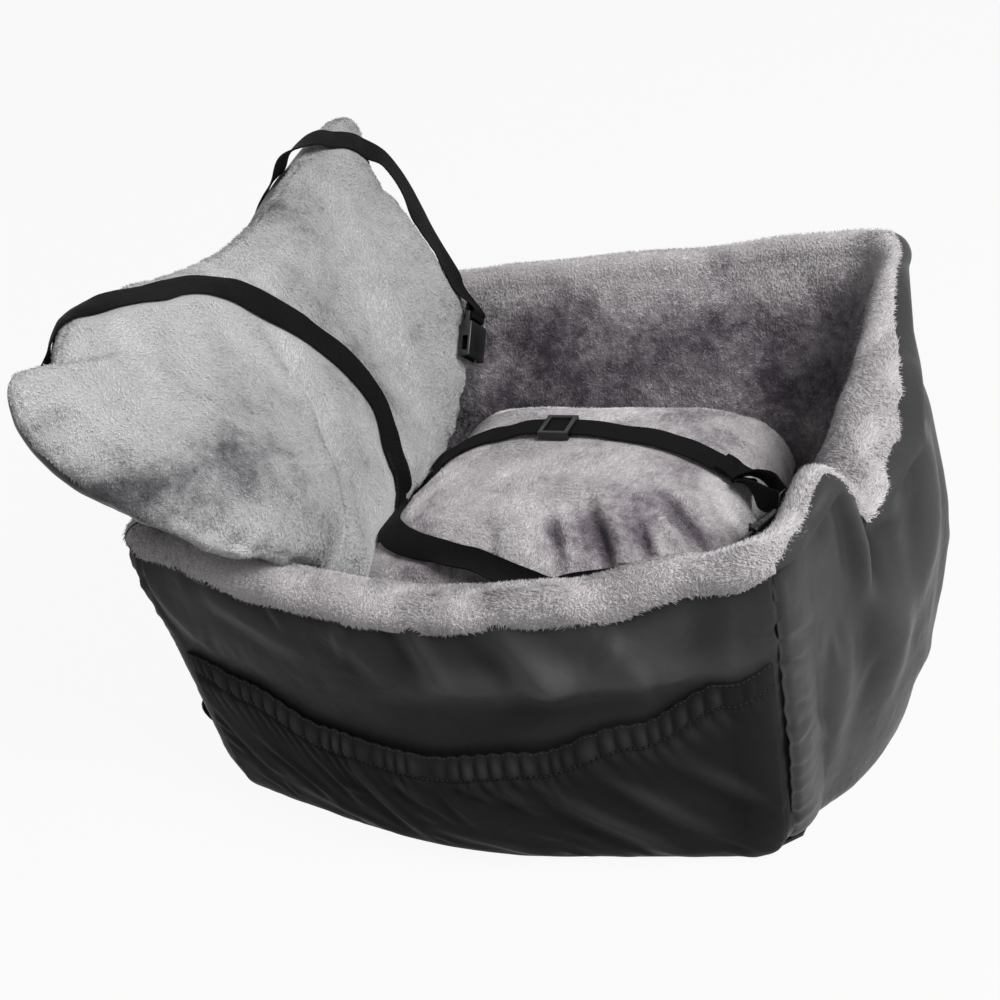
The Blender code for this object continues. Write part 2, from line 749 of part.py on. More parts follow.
def clear_between(trees, row, after):
    """Lifts two rows where the padding would come through the strap between them."""
    for left, right in ((0, 1), (1, 2)):
        corners = (row[left], row[right], after[left], after[right])
        for along in (0.0, 0.25, 0.5, 0.75, 1.0):
            for across in (0.0, 0.5, 1.0):
                weights = (
                    (1 - along) * (1 - across), (1 - along) * across, along * (1 - across), along * across,
                )
                middle = sum((spot[0] * w for spot, w in zip(corners, weights)), Vector())
                facing = sum((spot[1] * w for spot, w in zip(corners, weights)), Vector()).normalized()
                hit = surface_at(trees, middle, facing)
                short = (hit - middle).dot(facing) + DRAPE_GAP if hit is not None else 0
                if short > 0:
                    for spot, w in zip(corners, weights):
                        if w:
                            spot[0] = spot[0] + spot[1] * short


def strap(name, rows, look, closed=False):
    """A flat strap through rows of three points, with the way each row faces."""
    rings = []
    for points, facing in rows:
        rings.append(points + [p + facing * WEBBING_THICKNESS for p in reversed(points)])
    return loft(name, rings, look, closed)


def loop_rows(frame, bar_place):
    """Rows that take a strap, coming along the frame's X, over a bar, round it and back below itself."""
    radius = BAR_WIDTH / 2 + RUNNING
    half = BAR_DEPTH / 2 + RUNNING
    back = bar_place - radius
    path = [(back - LOOP_OVERLAP / 2, half, 90), (bar_place, half, 90), (bar_place + radius, half, 25)]
    path += [(bar_place + radius, -half, -25), (bar_place, -half, -90), (back - LOOP_OVERLAP / 2, -half, -90)]
    path += [(back - LOOP_OVERLAP, -half * CLOSING_SHARE, -90)]
    turn = frame.to_3x3()
    rows = []
    for x, z, angle in path:
        facing = Vector((math.cos(math.radians(angle)), 0, math.sin(math.radians(angle))))
        points = [frame @ Vector((x, side * WEBBING_WIDTH / 2, z)) for side in (-1, 0, 1)]
        rows.append((points, turn @ facing))
    return rows


def frame_on(trees, middle, heading_vector, facing, length, width, half_thickness):
    """A frame laid on the padding, clear of it all over a length and a width."""
    ahead = (heading_vector - facing * heading_vector.dot(facing)).normalized()
    side = facing.cross(ahead)
    spots = []
    for along in (-0.5, -0.25, 0, 0.25, 0.5):
        for across in (-0.5, -0.25, 0, 0.25, 0.5):
            p = middle + ahead * along * length + side * across * width
            hit = surface_at(trees, p, facing)
            if hit is not None:
                spots.append(((hit - middle).dot(ahead), (hit - middle).dot(side), (hit - middle).dot(facing)))
    slope = sum(a * h for a, _, h in spots) / sum(a * a for a, _, h in spots)
    tilt = sum(b * h for _, b, h in spots) / sum(b * b for _, b, h in spots)
    level = max(h - slope * a - tilt * b for a, b, h in spots)
    x = (ahead + facing * slope).normalized()
    z = (facing - ahead * slope - side * tilt).normalized()
    y = z.cross(x).normalized()
    x = y.cross(z)
    origin = middle + facing * level + z * (half_thickness + DRAPE_GAP)
    return Matrix(((x.x, y.x, z.x, origin.x), (x.y, y.y, z.y, origin.y), (x.z, y.z, z.z, origin.z), (0, 0, 0, 1)))


UP = Vector((-math.sin(BACKREST_LEAN), 0, math.cos(BACKREST_LEAN)))
AHEAD = Vector((math.cos(BACKREST_LEAN), 0, math.sin(BACKREST_LEAN)))
FOOT = Vector((BACKREST_FOOT[0], 0, BACKREST_FOOT[1]))


def curl(across, up):
    """How far the backrest's lower sides turn forward between the side walls."""
    edge = min(1.0, max(0.0, (abs(across) / BACKREST_HALF_WIDTH - CURL_START_SHARE) / (CURL_END_SHARE - CURL_START_SHARE)))
    height = up / BACKREST_HEIGHT
    fade = min(1.0, max(0.0, (CURL_TOP_SHARE - height) / CURL_FADE_SHARE)) * min(1.0, height / CURL_FOOT_SHARE)
    return BACKREST_CURL * edge * edge * (3 - 2 * edge) * fade * fade * (3 - 2 * fade)


def backrest_place(across, up, out):
    return FOOT + Vector((0, across, 0)) + UP * up + AHEAD * (out + curl(across, up))


def backrest_outline():
    line = [
        (a * BACKREST_HALF_WIDTH, u * BACKREST_HEIGHT)
        for a, u in ((p.x, p.y) for p in smooth_line([(a, u, 0) for a, u in BACKREST_OUTLINE_SHARES], 2, closed=True))
    ]
    return line


def make_backrest(plush, nylon, foam):
    outline = backrest_outline()
    centre = (0, BACKREST_HEIGHT * BACKREST_CENTRE_SHARE)
    front = dome_shell("backrest_front_cover", outline, centre, BACKREST_CROWN, BACKREST_COVER, backrest_place, plush)
    back = dome_shell("backrest_back_cover", outline, centre, -BACKREST_BELLY, BACKREST_COVER, backrest_place, nylon)
    filling = dome_filling(
        "backrest_filling", outline, centre, BACKREST_CROWN, -BACKREST_BELLY, BACKREST_COVER, backrest_place, foam
    )
    return front, back, filling



def make_bolster(foam, back_cover):
    """The wedge of padding behind the seat cushion, cut to the backrest's back."""
    trees = surface_trees([back_cover])
    front = BACKREST_FOOT[0] - NYLON
    rings = []
    for y in spread(-BOLSTER_HALF_WIDTH, BOLSTER_HALF_WIDTH, BOLSTER_ROWS):
        ring = [Vector((front, y, FLOOR_HEIGHT)), Vector((front, y, BACKREST_FOOT[1] - SEAT_GAP - BOLSTER_EDGE))]
        columns = spread(front - BOLSTER_EDGE, front - BOLSTER_DEPTH, BOLSTER_COLUMNS)
        for x in columns:
            hits = [
                surface_at(trees, Vector((x + dx, y + dy, BACKREST_FOOT[1])), Vector((0, 0, -1)))
                for dx in spread(columns[1] - columns[0], columns[0] - columns[1], 5)
                for dy in spread(-BOLSTER_HALF_WIDTH / BOLSTER_ROWS, BOLSTER_HALF_WIDTH / BOLSTER_ROWS, 5)
            ]
            ring.append(Vector((x, y, min(hit.z for hit in hits if hit is not None) - SEAT_GAP)))
        ring.append(Vector((front - BOLSTER_DEPTH, y, FLOOR_HEIGHT)))
        rings.append(ring)
    return loft("rear_bolster", rings, foam)


def make_rear_loops(look):
    """Two webbing loops sewn upright on the rear wall, for the car's anchor strap."""
    made = []
    for side, name in ((-1, "rear_loop_near"), (1, "rear_loop_far")):
        rings = []
        for y in (REAR_LOOP_PLACE - WEBBING_WIDTH / 2, REAR_LOOP_PLACE + WEBBING_WIDTH / 2):
            inner, outer = [], []
            top, foot = REAR_LOOP_FOOT + REAR_LOOP_RISE, REAR_LOOP_FOOT
            heights = [foot - REAR_LOOP_TAB] + spread(foot, top, 9) + [top + REAR_LOOP_TAB]
            for z in heights:
                q = min(1.0, max(0.0, (z - foot) / (top - foot)))
                wall = rear_face(side * y, z)
                reach = REAR_LOOP_REACH * math.sin(math.pi * q) ** 0.7 if 0 < q < 1 else 0.0
                inner.append(Vector((wall - FIT - reach, side * y, z)))
                outer.append(Vector((wall - FIT - WEBBING_THICKNESS - reach, side * y, z)))
            rings.append(inner + list(reversed(outer)))
        made.append(loft(name, rings, look))
    return made


def rear_face(y, z):
    """The outer face of the rear wall's cloth at a place."""
    best = None
    for place in spread(0, 1, 81):
        p = outer_point("rear", place, z)
        if best is None or abs(p.y - y) < abs(best.y - y):
            best = p
    return best.x - FIT - NYLON


def backrest_stations(shares):
    line = smooth_line(shares, 2)
    stations = []
    for p in line:
        angle = math.radians(p.z)
        facing = UP * math.cos(angle) + AHEAD * math.sin(angle)
        stations.append((backrest_place(p.x * BACKREST_HALF_WIDTH, p.y * BACKREST_HEIGHT, 0), facing))
    return stations


def cushion_spot(share):
    x0, y0 = CUSHION_CENTRE
    return Vector((x0 + share[0] * CUSHION_HALF_LENGTH, y0 + share[1] * CUSHION_HALF_WIDTH, CUSHION_SEAM_HEIGHT))


def cushion_stations(shares):
    up = Vector((0, 0, 1))
    return [(cushion_spot(p), up) for p in smooth_line([(*share, 0) for share in shares], 2)]


def make_socket(frame, look):
    """The buckle's hollow half: a mouth, two side windows and a bar for the strap."""
    half, wide, deep = SOCKET_LENGTH / 2, SOCKET_WIDTH / 2, SOCKET_THICKNESS / 2
    neck = -half + BAR_WIDTH + SLOT_LENGTH
    socket = block("buckle_socket", (neck, -wide, -deep), (half, wide, deep), look, SOCKET_EDGE)
    tang = block(
        "tang", (-half, -wide + SOCKET_EDGE, -BAR_DEPTH / 2), (neck + SOCKET_WALL * 2, wide - SOCKET_EDGE, BAR_DEPTH / 2), look,
    )
    combine(socket, tang, "UNION")
    over = SOCKET_WALL
    slot = block("slot", (-half + BAR_WIDTH, -SLOT_WIDTH / 2, -deep), (neck, SLOT_WIDTH / 2, deep), look)
    combine(socket, slot, "DIFFERENCE")
    cavity = block(
        "cavity", (half - SOCKET_DEPTH, -wide + SOCKET_WALL, -deep + SOCKET_WALL), (half + over, wide - SOCKET_WALL, deep - SOCKET_WALL), look
    )
    combine(socket, cavity, "DIFFERENCE")
    window_end = half - WINDOW_INSET
    window = block(
        "window",
        (window_end - WINDOW_LENGTH, -wide - over, -deep + SOCKET_WALL * 1.5),
        (window_end, wide + over, deep - SOCKET_WALL * 1.5),
        look,
    )
    combine(socket, window, "DIFFERENCE")
    socket.matrix_world = frame
    return socket


def make_plug(frame, look):
    """The buckle's other half: a tongue between two prongs, and a bar for the strap."""
    outline = [(x * PLUG_REACH, y * SOCKET_WIDTH) for x, y in PRONG_SHARES] + [(-PLUG_BASE, PRONG_SHARES[-1][1] * SOCKET_WIDTH)]
    plug = plate("buckle_plug", mirrored(outline), -PLUG_THICKNESS / 2, PLUG_THICKNESS / 2, look)
    slot = block(
        "slot",
        (-PLUG_BASE + BAR_WIDTH, -SLOT_WIDTH / 2, -PLUG_THICKNESS),
        (-PLUG_BASE + BAR_WIDTH + SLOT_LENGTH, SLOT_WIDTH / 2, PLUG_THICKNESS),
        look,
    )
    combine(plug, slot, "DIFFERENCE")
    plug.matrix_world = frame
    return plug


def make_slider(frame, look):
    """A bowed strap slider: two end bars over the strap and a middle bar below it."""
    room = WEBBING_THICKNESS / 2 + SLIDER_ROOM
    half, deep, wide = SLIDER_LENGTH / 2, room + SLIDER_DEPTH, WEBBING_WIDTH / 2 + SLIDER_ROOM
    over = SLIDER_DEPTH
    slider = block("tether_slider", (-half, -wide - SLIDER_RAIL, -deep), (half, wide + SLIDER_RAIL, deep), look, SLIDER_ROOM)
    cuts = [
        ((-half - over, -wide, -room), (half + over, wide, room)),
        ((-half + SLIDER_BAR, -wide, 0), (half - SLIDER_BAR, wide, deep + over)),
        ((SLIDER_BAR / 2, -wide, -deep - over), (half + over, wide, 0)),
        ((-half - over, -wide, -deep - over), (-SLIDER_BAR / 2, wide, 0)),
    ]
    for low, high in cuts:
        combine(slider, block("cut", low, high, look), "DIFFERENCE")
    slider.matrix_world = frame
    return slider


def eye_frame():
    ahead = Vector((math.cos(HOOK_HEADING), math.sin(HOOK_HEADING), 0))
    up = Vector((0, 0, 1))
    across = ahead.cross(up)
    x, y, z = EYE_PLACE
    return Matrix(((ahead.x, up.x, across.x, x), (ahead.y, up.y, across.y, y), (ahead.z, up.z, across.z, z), (0, 0, 0, 1)))


def make_eye(frame, look):
    """The swivel's upright D ring, with the headed post that turns in the hook's barrel."""
    half = (EYE_OPENING + EYE_BAR) / 2
    far = EYE_DEPTH + EYE_BAR / 2
    corner = EYE_BAR / 2
    line = [(0, -half + corner, 0), (0, half - corner, 0), (corner, half, 0), (far - corner * 2, half, 0)]
    line += [(far, half / 3, 0), (far, -half / 3, 0), (far - corner * 2, -half, 0), (corner, -half, 0)]
    eye = tube("swivel_eye", line, EYE_BAR / 2, 10, look, closed=True)
    post_end = far + EYE_BAR / 2 + POST_LENGTH
    profile = [
        (far, 0), (far, POST_RADIUS), (post_end, POST_RADIUS), (post_end, POST_HEAD),
        (post_end + HEAD_LENGTH, POST_HEAD), (post_end + HEAD_LENGTH, 0),
    ]
    combine(eye, turned("post", profile, look, 16), "UNION")
    eye.matrix_world = frame
    return eye, post_end


def make_hook(frame, head_start, look):
    """The hook's barrel, with a pocket for the swivel's head, a bore for the bolt, and the hook bar."""
    start = head_start - RUNNING - BARREL_NECK
    end = start + BARREL_LENGTH
    profile = [
        (start, 0), (start, BARREL_RADIUS - RUNNING * 3), (start + RUNNING * 3, BARREL_RADIUS),
        (end - RUNNING * 3, BARREL_RADIUS), (end, BARREL_RADIUS - RUNNING * 3), (end, 0),
    ]
    body = turned("hook_body", profile, look, 24)
    line = smooth_line([(end + x * HOOK_RADIUS, 0, y * HOOK_RADIUS) for x, y in HOOK_SHARES], 3)
    combine(body, tube("bar", line, HOOK_BAR, 10, look), "UNION")
    neck = POST_RADIUS + RUNNING
    head = POST_HEAD + RUNNING
    pocket_end = head_start + HEAD_LENGTH + RUNNING
    cut = [(start - RUNNING, 0), (start - RUNNING, neck), (head_start - RUNNING, neck), (head_start - RUNNING, head)]
    cut += [(pocket_end, head), (pocket_end, 0)]
    combine(body, turned("pocket", cut, look, 16), "DIFFERENCE")
    bore = BOLT_RADIUS + RUNNING
    clear = end + HOOK_RADIUS * 0.8
    cut = [(end - CHAMBER_LENGTH, 0), (end - CHAMBER_LENGTH, bore), (clear, bore), (clear, 0)]
    combine(body, turned("bore", cut, look, 16), "DIFFERENCE")
    knob = end - BOLT_TAIL + KNOB_RADIUS
    slot = block(
        "knob_slot",
        (knob - KNOB_RADIUS - BOLT_TRAVEL - RUNNING, -KNOB_RADIUS - RUNNING, 0),
        (knob + KNOB_RADIUS + RUNNING, KNOB_RADIUS + RUNNING, BARREL_RADIUS + RUNNING),
        look,
    )
    combine(body, slot, "DIFFERENCE")
    body.matrix_world = frame
    return body, end, knob


def make_bolt(frame, end, knob, look):
    tip = end + HOOK_SHARES[-1][0] * HOOK_RADIUS - RUNNING * 2
    tail = end - BOLT_TAIL
    profile = [(tail, 0), (tail, BOLT_RADIUS), (tip - BOLT_RADIUS / 2, BOLT_RADIUS), (tip, BOLT_RADIUS / 2), (tip, 0)]
    bolt = turned("hook_bolt", profile, look, 16)
    root = BOLT_RADIUS / 3
    stud = [(root, 0), (root, KNOB_RADIUS), (BARREL_RADIUS + KNOB_RISE, KNOB_RADIUS), (BARREL_RADIUS + KNOB_RISE, 0)]
    lever = turned("stud", stud, look, 10)
    skew = Matrix.Rotation(math.pi / 24, 4, "X")
    lever.data.transform(Matrix.Translation((knob, 0, 0)) @ Matrix.Rotation(-math.pi / 2, 4, "Y") @ skew)
    combine(bolt, lever, "UNION")
    bolt.matrix_world = frame
    return bolt, tail


def make_spring(frame, end, tail, look):
    """The bolt's spring, one unbroken wire from the bottom of the bore to the bolt's tail."""
    start = end - CHAMBER_LENGTH + SPRING_WIRE + RUNNING
    stop = tail - SPRING_WIRE - RUNNING
    radius = BOLT_RADIUS - SPRING_WIRE
    steps = SPRING_TURNS * 9
    line = []
    for i in range(steps + 1):
        turn = 2 * math.pi * SPRING_TURNS * i / steps
        line.append((start + (stop - start) * i / steps, radius * math.cos(turn), radius * math.sin(turn)))
    pitch = (stop - start) / SPRING_TURNS
    print(f"hook spring: {1000 * (pitch - SPRING_WIRE * 2):.2f} mm clear between its turns")
    spring = tube("hook_spring", line, SPRING_WIRE, 5, look)
    spring.matrix_world = frame
    return spring


def make_tether_loop(tether_rows, frame, look):
    """The tether's end loop: two plies sewn flat on the tether, turned on edge round the swivel's eye."""
    start = tether_rows[-1][0][1]
    up = Vector((0, 0, 1))
    bar = frame.to_translation()
    ahead = bar - start
    ahead.z = 0
    reach = ahead.length
    ahead.normalize()
    side = up.cross(ahead)
    ply = WEBBING_THICKNESS + FIT
    round_bar = EYE_BAR / 2 + RUNNING
    upper = [([p + facing * ply * 2 for p in points], facing) for points, facing in tether_rows[-3:]]
    lower = [
        ([p + facing * (ply + WEBBING_THICKNESS) for p in reversed(points)], -facing) for points, facing in tether_rows[-3:]
    ]
    branches = []
    for sign in (1, -1):
        rows = []
        for place, bulge, upright in LOOP_SHARES:
            p = start.lerp(bar, place) + side * sign * LOOP_BULGE * bulge
            p += up * (ply * (2 if sign > 0 else 1) + LOOP_RISE * math.sin(math.pi * min(1.0, place))) * (1 - upright * place)
            angle = math.pi / 2 * (1 - upright)
            facing = (side * math.cos(angle) + up * math.sin(angle)) * sign
            across = facing.cross(ahead * sign).normalized() * WEBBING_WIDTH / 2
            rows.append(([p - across, p, p + across], facing))
        branches.append(rows)
    turn_rows = []
    for angle in (90, 45, 0, -45, -90):
        turn = math.radians(angle)
        facing = side * math.sin(turn) + ahead * math.cos(turn)
        p = bar + facing * round_bar
        across = facing.cross(ahead * math.sin(turn) - side * math.cos(turn)).normalized() * WEBBING_WIDTH / 2
        turn_rows.append(([p - across, p, p + across], facing))
    rows = upper + branches[0] + turn_rows + list(reversed(branches[1])) + list(reversed(lower))
    return strap("tether_loop", rows, look)


def hung_from(name, place, pieces):
    """An empty on a joint's axis, with the pieces that move about it as its children."""
    joint = bpy.data.objects.new(name, None)
    joint.location = place
    bpy.context.scene.collection.objects.link(joint)
    bpy.context.view_layer.update()
    for piece in pieces:
        piece.parent = joint
        piece.matrix_parent_inverse = joint.matrix_world.inverted()
    return joint


clear_scene()
nylon = material("charcoal_nylon", (0.035, 0.035, 0.037), 0.45)
rubber = material("non_slip_fabric", (0.012, 0.012, 0.012), 0.85)
plush = material("grey_plush", (0.42, 0.40, 0.42), 0.95)
foam = material("polyester_filling", (0.80, 0.79, 0.76), 0.95)
webbing = material("black_webbing", (0.010, 0.010, 0.011), 0.70)
plastic = material("black_acetal", (0.012, 0.012, 0.013), 0.40)
metal = material("black_zinc", (0.020, 0.020, 0.022), 0.30, 1.0)

make_walls(nylon, plush, foam)
make_base(rubber, foam, plush)
make_pocket(nylon, webbing)
make_rear_loops(webbing)
cushion_pieces = make_cushion(plush, nylon, foam)
backrest_pieces = make_backrest(plush, nylon, foam)
make_bolster(foam, backrest_pieces[1])

backrest_trees = surface_trees(backrest_pieces[:2])
cushion_trees = surface_trees(cushion_pieces[:1])
near_strap = strap("near_strap", strap_rows(backrest_trees, backrest_stations(NEAR_STRAP_SHARES)), webbing)
across, up = SOCKET_PLACE_SHARE
socket_frame = frame_on(
    backrest_trees,
    backrest_place(across * BACKREST_HALF_WIDTH, up * BACKREST_HEIGHT, 0),
    Vector((0, math.cos(SOCKET_HEADING), 0)) + UP * math.sin(SOCKET_HEADING),
    AHEAD, SOCKET_LENGTH, SOCKET_WIDTH, SOCKET_THICKNESS / 2,
)
socket = make_socket(socket_frame, plastic)
rows = strap_rows(backrest_trees, backrest_stations(FAR_STRAP_SHARES))
rows += loop_rows(socket_frame, (BAR_WIDTH - SOCKET_LENGTH) / 2)
far_strap = strap("far_strap", rows, webbing)

lift = Vector((0, 0, 1))
plug_frame = frame_on(
    cushion_trees, cushion_spot(PLUG_PLACE_SHARE), Vector((math.cos(PLUG_HEADING), math.sin(PLUG_HEADING), 0)), lift,
    PLUG_REACH + PLUG_BASE, SOCKET_WIDTH, BAR_DEPTH / 2 + WEBBING_THICKNESS + FIT,
)
plug = make_plug(plug_frame, plastic)
rows = strap_rows(cushion_trees, cushion_stations(TAIL_SHARES))
rows += loop_rows(plug_frame, BAR_WIDTH / 2 - PLUG_BASE)
tail = strap("near_strap_tail", rows, webbing)

slider_deep = WEBBING_THICKNESS / 2 + SLIDER_ROOM + SLIDER_DEPTH
slider_run = SLIDER_LENGTH + SLIDER_TRAVEL * 2
slider_frame = frame_on(
    cushion_trees, cushion_spot(SLIDER_PLACE_SHARE), Vector((1, 0, 0)), lift, slider_run, WEBBING_WIDTH, slider_deep,
)
slider = make_slider(slider_frame, plastic)
straight = []
for x in (-slider_run / 2, slider_run / 2):
    points = [slider_frame @ Vector((x, side * WEBBING_WIDTH / 2, -WEBBING_THICKNESS / 2)) for side in (-1, 0, 1)]
    straight.append((points, slider_frame.to_3x3() @ lift))
before = strap_rows(cushion_trees, cushion_stations(TETHER_SHARES))
after = strap_rows(cushion_trees, cushion_stations(TETHER_AFTER_SHARES))
tether = strap("tether_webbing", before + straight + after, webbing)

hook_frame = eye_frame()
loop = make_tether_loop(after, hook_frame, webbing)
eye, head_start = make_eye(hook_frame, metal)
hook, barrel_end, knob = make_hook(hook_frame, head_start, metal)
bolt, bolt_tail = make_bolt(hook_frame, barrel_end, knob, metal)
spring = make_spring(hook_frame, barrel_end, bolt_tail, metal)

hung_from("backrest_hinge", FOOT, [*backrest_pieces, near_strap, far_strap, socket])
hung_from("cushion_lift", cushion_spot((0, 0)), [*cushion_pieces, tail, plug, tether, loop, eye])
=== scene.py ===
import json
import math

import bpy
import numpy as np
from mathutils import Matrix, Vector
from mathutils.bvhtree import BVHTree


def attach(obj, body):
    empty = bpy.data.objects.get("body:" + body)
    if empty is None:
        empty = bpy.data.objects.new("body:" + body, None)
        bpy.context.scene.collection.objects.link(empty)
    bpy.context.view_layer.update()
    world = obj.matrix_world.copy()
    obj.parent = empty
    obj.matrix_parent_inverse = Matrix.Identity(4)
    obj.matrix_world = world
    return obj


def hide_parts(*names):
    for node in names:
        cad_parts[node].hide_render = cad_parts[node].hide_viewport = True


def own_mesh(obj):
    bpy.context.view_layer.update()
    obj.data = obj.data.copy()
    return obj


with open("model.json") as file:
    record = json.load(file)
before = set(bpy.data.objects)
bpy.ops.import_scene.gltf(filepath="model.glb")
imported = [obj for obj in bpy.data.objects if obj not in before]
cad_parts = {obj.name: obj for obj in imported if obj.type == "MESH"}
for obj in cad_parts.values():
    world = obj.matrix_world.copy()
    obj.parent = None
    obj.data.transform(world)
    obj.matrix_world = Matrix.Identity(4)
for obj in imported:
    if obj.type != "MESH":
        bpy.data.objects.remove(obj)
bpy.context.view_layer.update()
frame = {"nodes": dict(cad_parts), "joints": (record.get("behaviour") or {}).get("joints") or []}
bpy.ops.object.select_all(action="DESELECT")
print("frame loaded:", len(frame["nodes"]), "nodes")

# camera, lights and floor

cameraFacts = {"place": (0.4537, -0.9459, 0.8607), "yaw": -0.4667, "pitch": 0.5429, "roll": -0.2052, "focal": 1402.25}


def makeCamera(facts):
    yaw, pitch, roll = facts["yaw"], facts["pitch"], facts["roll"]
    ahead = Vector((math.sin(yaw) * math.cos(pitch), math.cos(yaw) * math.cos(pitch), -math.sin(pitch)))
    level = Vector((math.cos(yaw), -math.sin(yaw), 0))
    up = level.cross(ahead)
    right = level * math.cos(roll) + up * math.sin(roll)
    top = up * math.cos(roll) - level * math.sin(roll)
    bpy.ops.object.camera_add(location=facts["place"])
    made = bpy.context.object
    made.name = "photoCamera"
    made.matrix_world = Matrix((right, top, -ahead)).transposed().to_4x4()
    made.matrix_world.translation = facts["place"]
    made.data.lens = facts["focal"] * made.data.sensor_width / 1000  # the photo is 1000 pixels wide
    made.data.clip_start = 0.01
    return made


bpy.context.scene.camera = makeCamera(cameraFacts)

studio = {
    "worldLight": 0.34, "keyPlace": (1.48, -0.60, 1.75), "keyPower": 50.0, "keySize": 0.80,
    "fillPlace": (0.3, -1.9, 1.5), "fillPower": 3.0, "floorColour": 0.45, "floorWhite": 0.93, "backWhite": 0.955,
}


def addMath(nodes, links, operation, a, b):
    made = nodes.new("ShaderNodeMath")
    made.operation = operation
    for socket, value in zip(made.inputs, (a, b)):
        if isinstance(value, (int, float)):
            socket.default_value = value
        else:
            links.new(value, socket)
    return made.outputs[0]


def areaLamp(name, place, aim, power, size):
    bpy.ops.object.light_add(type="AREA", location=place)
    lamp = bpy.context.object
    lamp.name = name
    lamp.data.energy = power
    lamp.data.size = size
    lamp.rotation_euler = (Vector(aim) - Vector(place)).to_track_quat("-Z", "Y").to_euler()


def makeStudio(facts):
    world = bpy.data.worlds.new("softStudio")
    bpy.context.scene.world = world
    world.use_nodes = True
    nodes, links = world.node_tree.nodes, world.node_tree.links
    back = nodes["Background"]
    back.inputs["Color"].default_value = (1, 1, 1, 1)
    path = nodes.new("ShaderNodeLightPath")
    seen = addMath(nodes, links, "MAXIMUM", path.outputs["Is Camera Ray"], path.outputs["Is Glossy Ray"])
    seen = addMath(nodes, links, "MAXIMUM", seen, path.outputs["Is Transmission Ray"])
    strength = nodes.new("ShaderNodeMapRange")
    strength.inputs["To Min"].default_value = facts["worldLight"]
    strength.inputs["To Max"].default_value = facts["backWhite"]
    links.new(seen, strength.inputs["Value"])
    links.new(strength.outputs[0], back.inputs["Strength"])
    areaLamp("keyLamp", facts["keyPlace"], (0, 0, 0.2), facts["keyPower"], facts["keySize"])
    areaLamp("fillLamp", facts["fillPlace"], (0, 0, 0.2), facts["fillPower"], facts["keySize"])
    bpy.ops.mesh.primitive_plane_add(size=8, location=(0, 0, 0))
    floor = bpy.context.object
    floor.name = "paleFloor"
    finish = bpy.data.materials.new("paleFloor")
    finish.use_nodes = True
    shader = finish.node_tree.nodes["Principled BSDF"]
    shade = facts["floorColour"]
    shader.inputs["Base Color"].default_value = (shade, shade, shade, 1)
    shader.inputs["Roughness"].default_value = 0.9
    tree = finish.node_tree
    glow = tree.nodes.new("ShaderNodeEmission")
    blend = tree.nodes.new("ShaderNodeMixShader")
    path = tree.nodes.new("ShaderNodeLightPath")
    seen = addMath(tree.nodes, tree.links, "MAXIMUM", path.outputs["Is Camera Ray"], path.outputs["Is Glossy Ray"])
    seen = addMath(tree.nodes, tree.links, "MULTIPLY", seen, facts["floorWhite"])
    tree.links.new(seen, blend.inputs[0])
    tree.links.new(shader.outputs[0], blend.inputs[1])
    tree.links.new(glow.outputs[0], blend.inputs[2])
    tree.links.new(blend.outputs[0], tree.nodes["Material Output"].inputs["Surface"])
    floor.data.materials.append(finish)
    bpy.context.scene.view_settings.view_transform = "Standard"


makeStudio(studio)
print("camera and studio ready")

# finishes


def newFinish(name, colour, roughness, metallic=0.0):
    made = bpy.data.materials.new(name)
    made.use_nodes = True
    shader = made.node_tree.nodes["Principled BSDF"]
    shader.inputs["Base Color"].default_value = (*colour, 1)
    shader.inputs["Roughness"].default_value = roughness
    shader.inputs["Metallic"].default_value = metallic
    return made, made.node_tree.nodes, made.node_tree.links, shader


def addNoise(nodes, links, where, scale, detail=3.0, rough=0.55, stretch=(1, 1, 1)):
    mapping = nodes.new("ShaderNodeMapping")
    mapping.inputs["Scale"].default_value = stretch
    links.new(where, mapping.inputs["Vector"])
    noise = nodes.new("ShaderNodeTexNoise")
    noise.inputs["Scale"].default_value = scale
    noise.inputs["Detail"].default_value = detail
    noise.inputs["Roughness"].default_value = rough
    links.new(mapping.outputs[0], noise.inputs["Vector"])
    return noise.outputs["Fac"]


def addRamp(nodes, links, value, stops):
    ramp = nodes.new("ShaderNodeValToRGB")
    while len(ramp.color_ramp.elements) < len(stops):
        ramp.color_ramp.elements.new(0.5)
    for element, (place, colour) in zip(ramp.color_ramp.elements, stops):
        element.position = place
        element.color = (*colour, 1)
    links.new(value, ramp.inputs["Fac"])
    return ramp.outputs["Color"]


def addMix(nodes, links, factor, a, b, blend="MIX"):
    made = nodes.new("ShaderNodeMix")
    made.data_type = "RGBA"
    made.blend_type = blend
    for socket, value in ((made.inputs[0], factor), (made.inputs[6], a), (made.inputs[7], b)):
        if isinstance(value, (int, float)):
            socket.default_value = value
        elif isinstance(value, tuple):
            socket.default_value = (*value, 1)
        else:
            links.new(value, socket)
    return made.outputs[2]


def addBump(nodes, links, shader, height, distance, strength=1.0):
    made = nodes.new("ShaderNodeBump")
    made.inputs["Distance"].default_value = distance
    made.inputs["Strength"].default_value = strength
    links.new(height, made.inputs["Height"])
    links.new(made.outputs[0], shader.inputs["Normal"])


nylonLook = {
    "colour": (0.0095, 0.0095, 0.0097), "paleAndHighlit": (0.0640, 0.0640, 0.0645), "roughness": 0.38,
    "cloud": 14, "crinkle": 60, "threads": 1400, "bump": 0.0010,
    # the near wall and the pocket are the one nylon with less gloss, so that they render darker: painted shade
    "gloss": {"charcoalNylon": 0.10, "nearNylon": 0.045, "pocketNylon": 0.006},
}


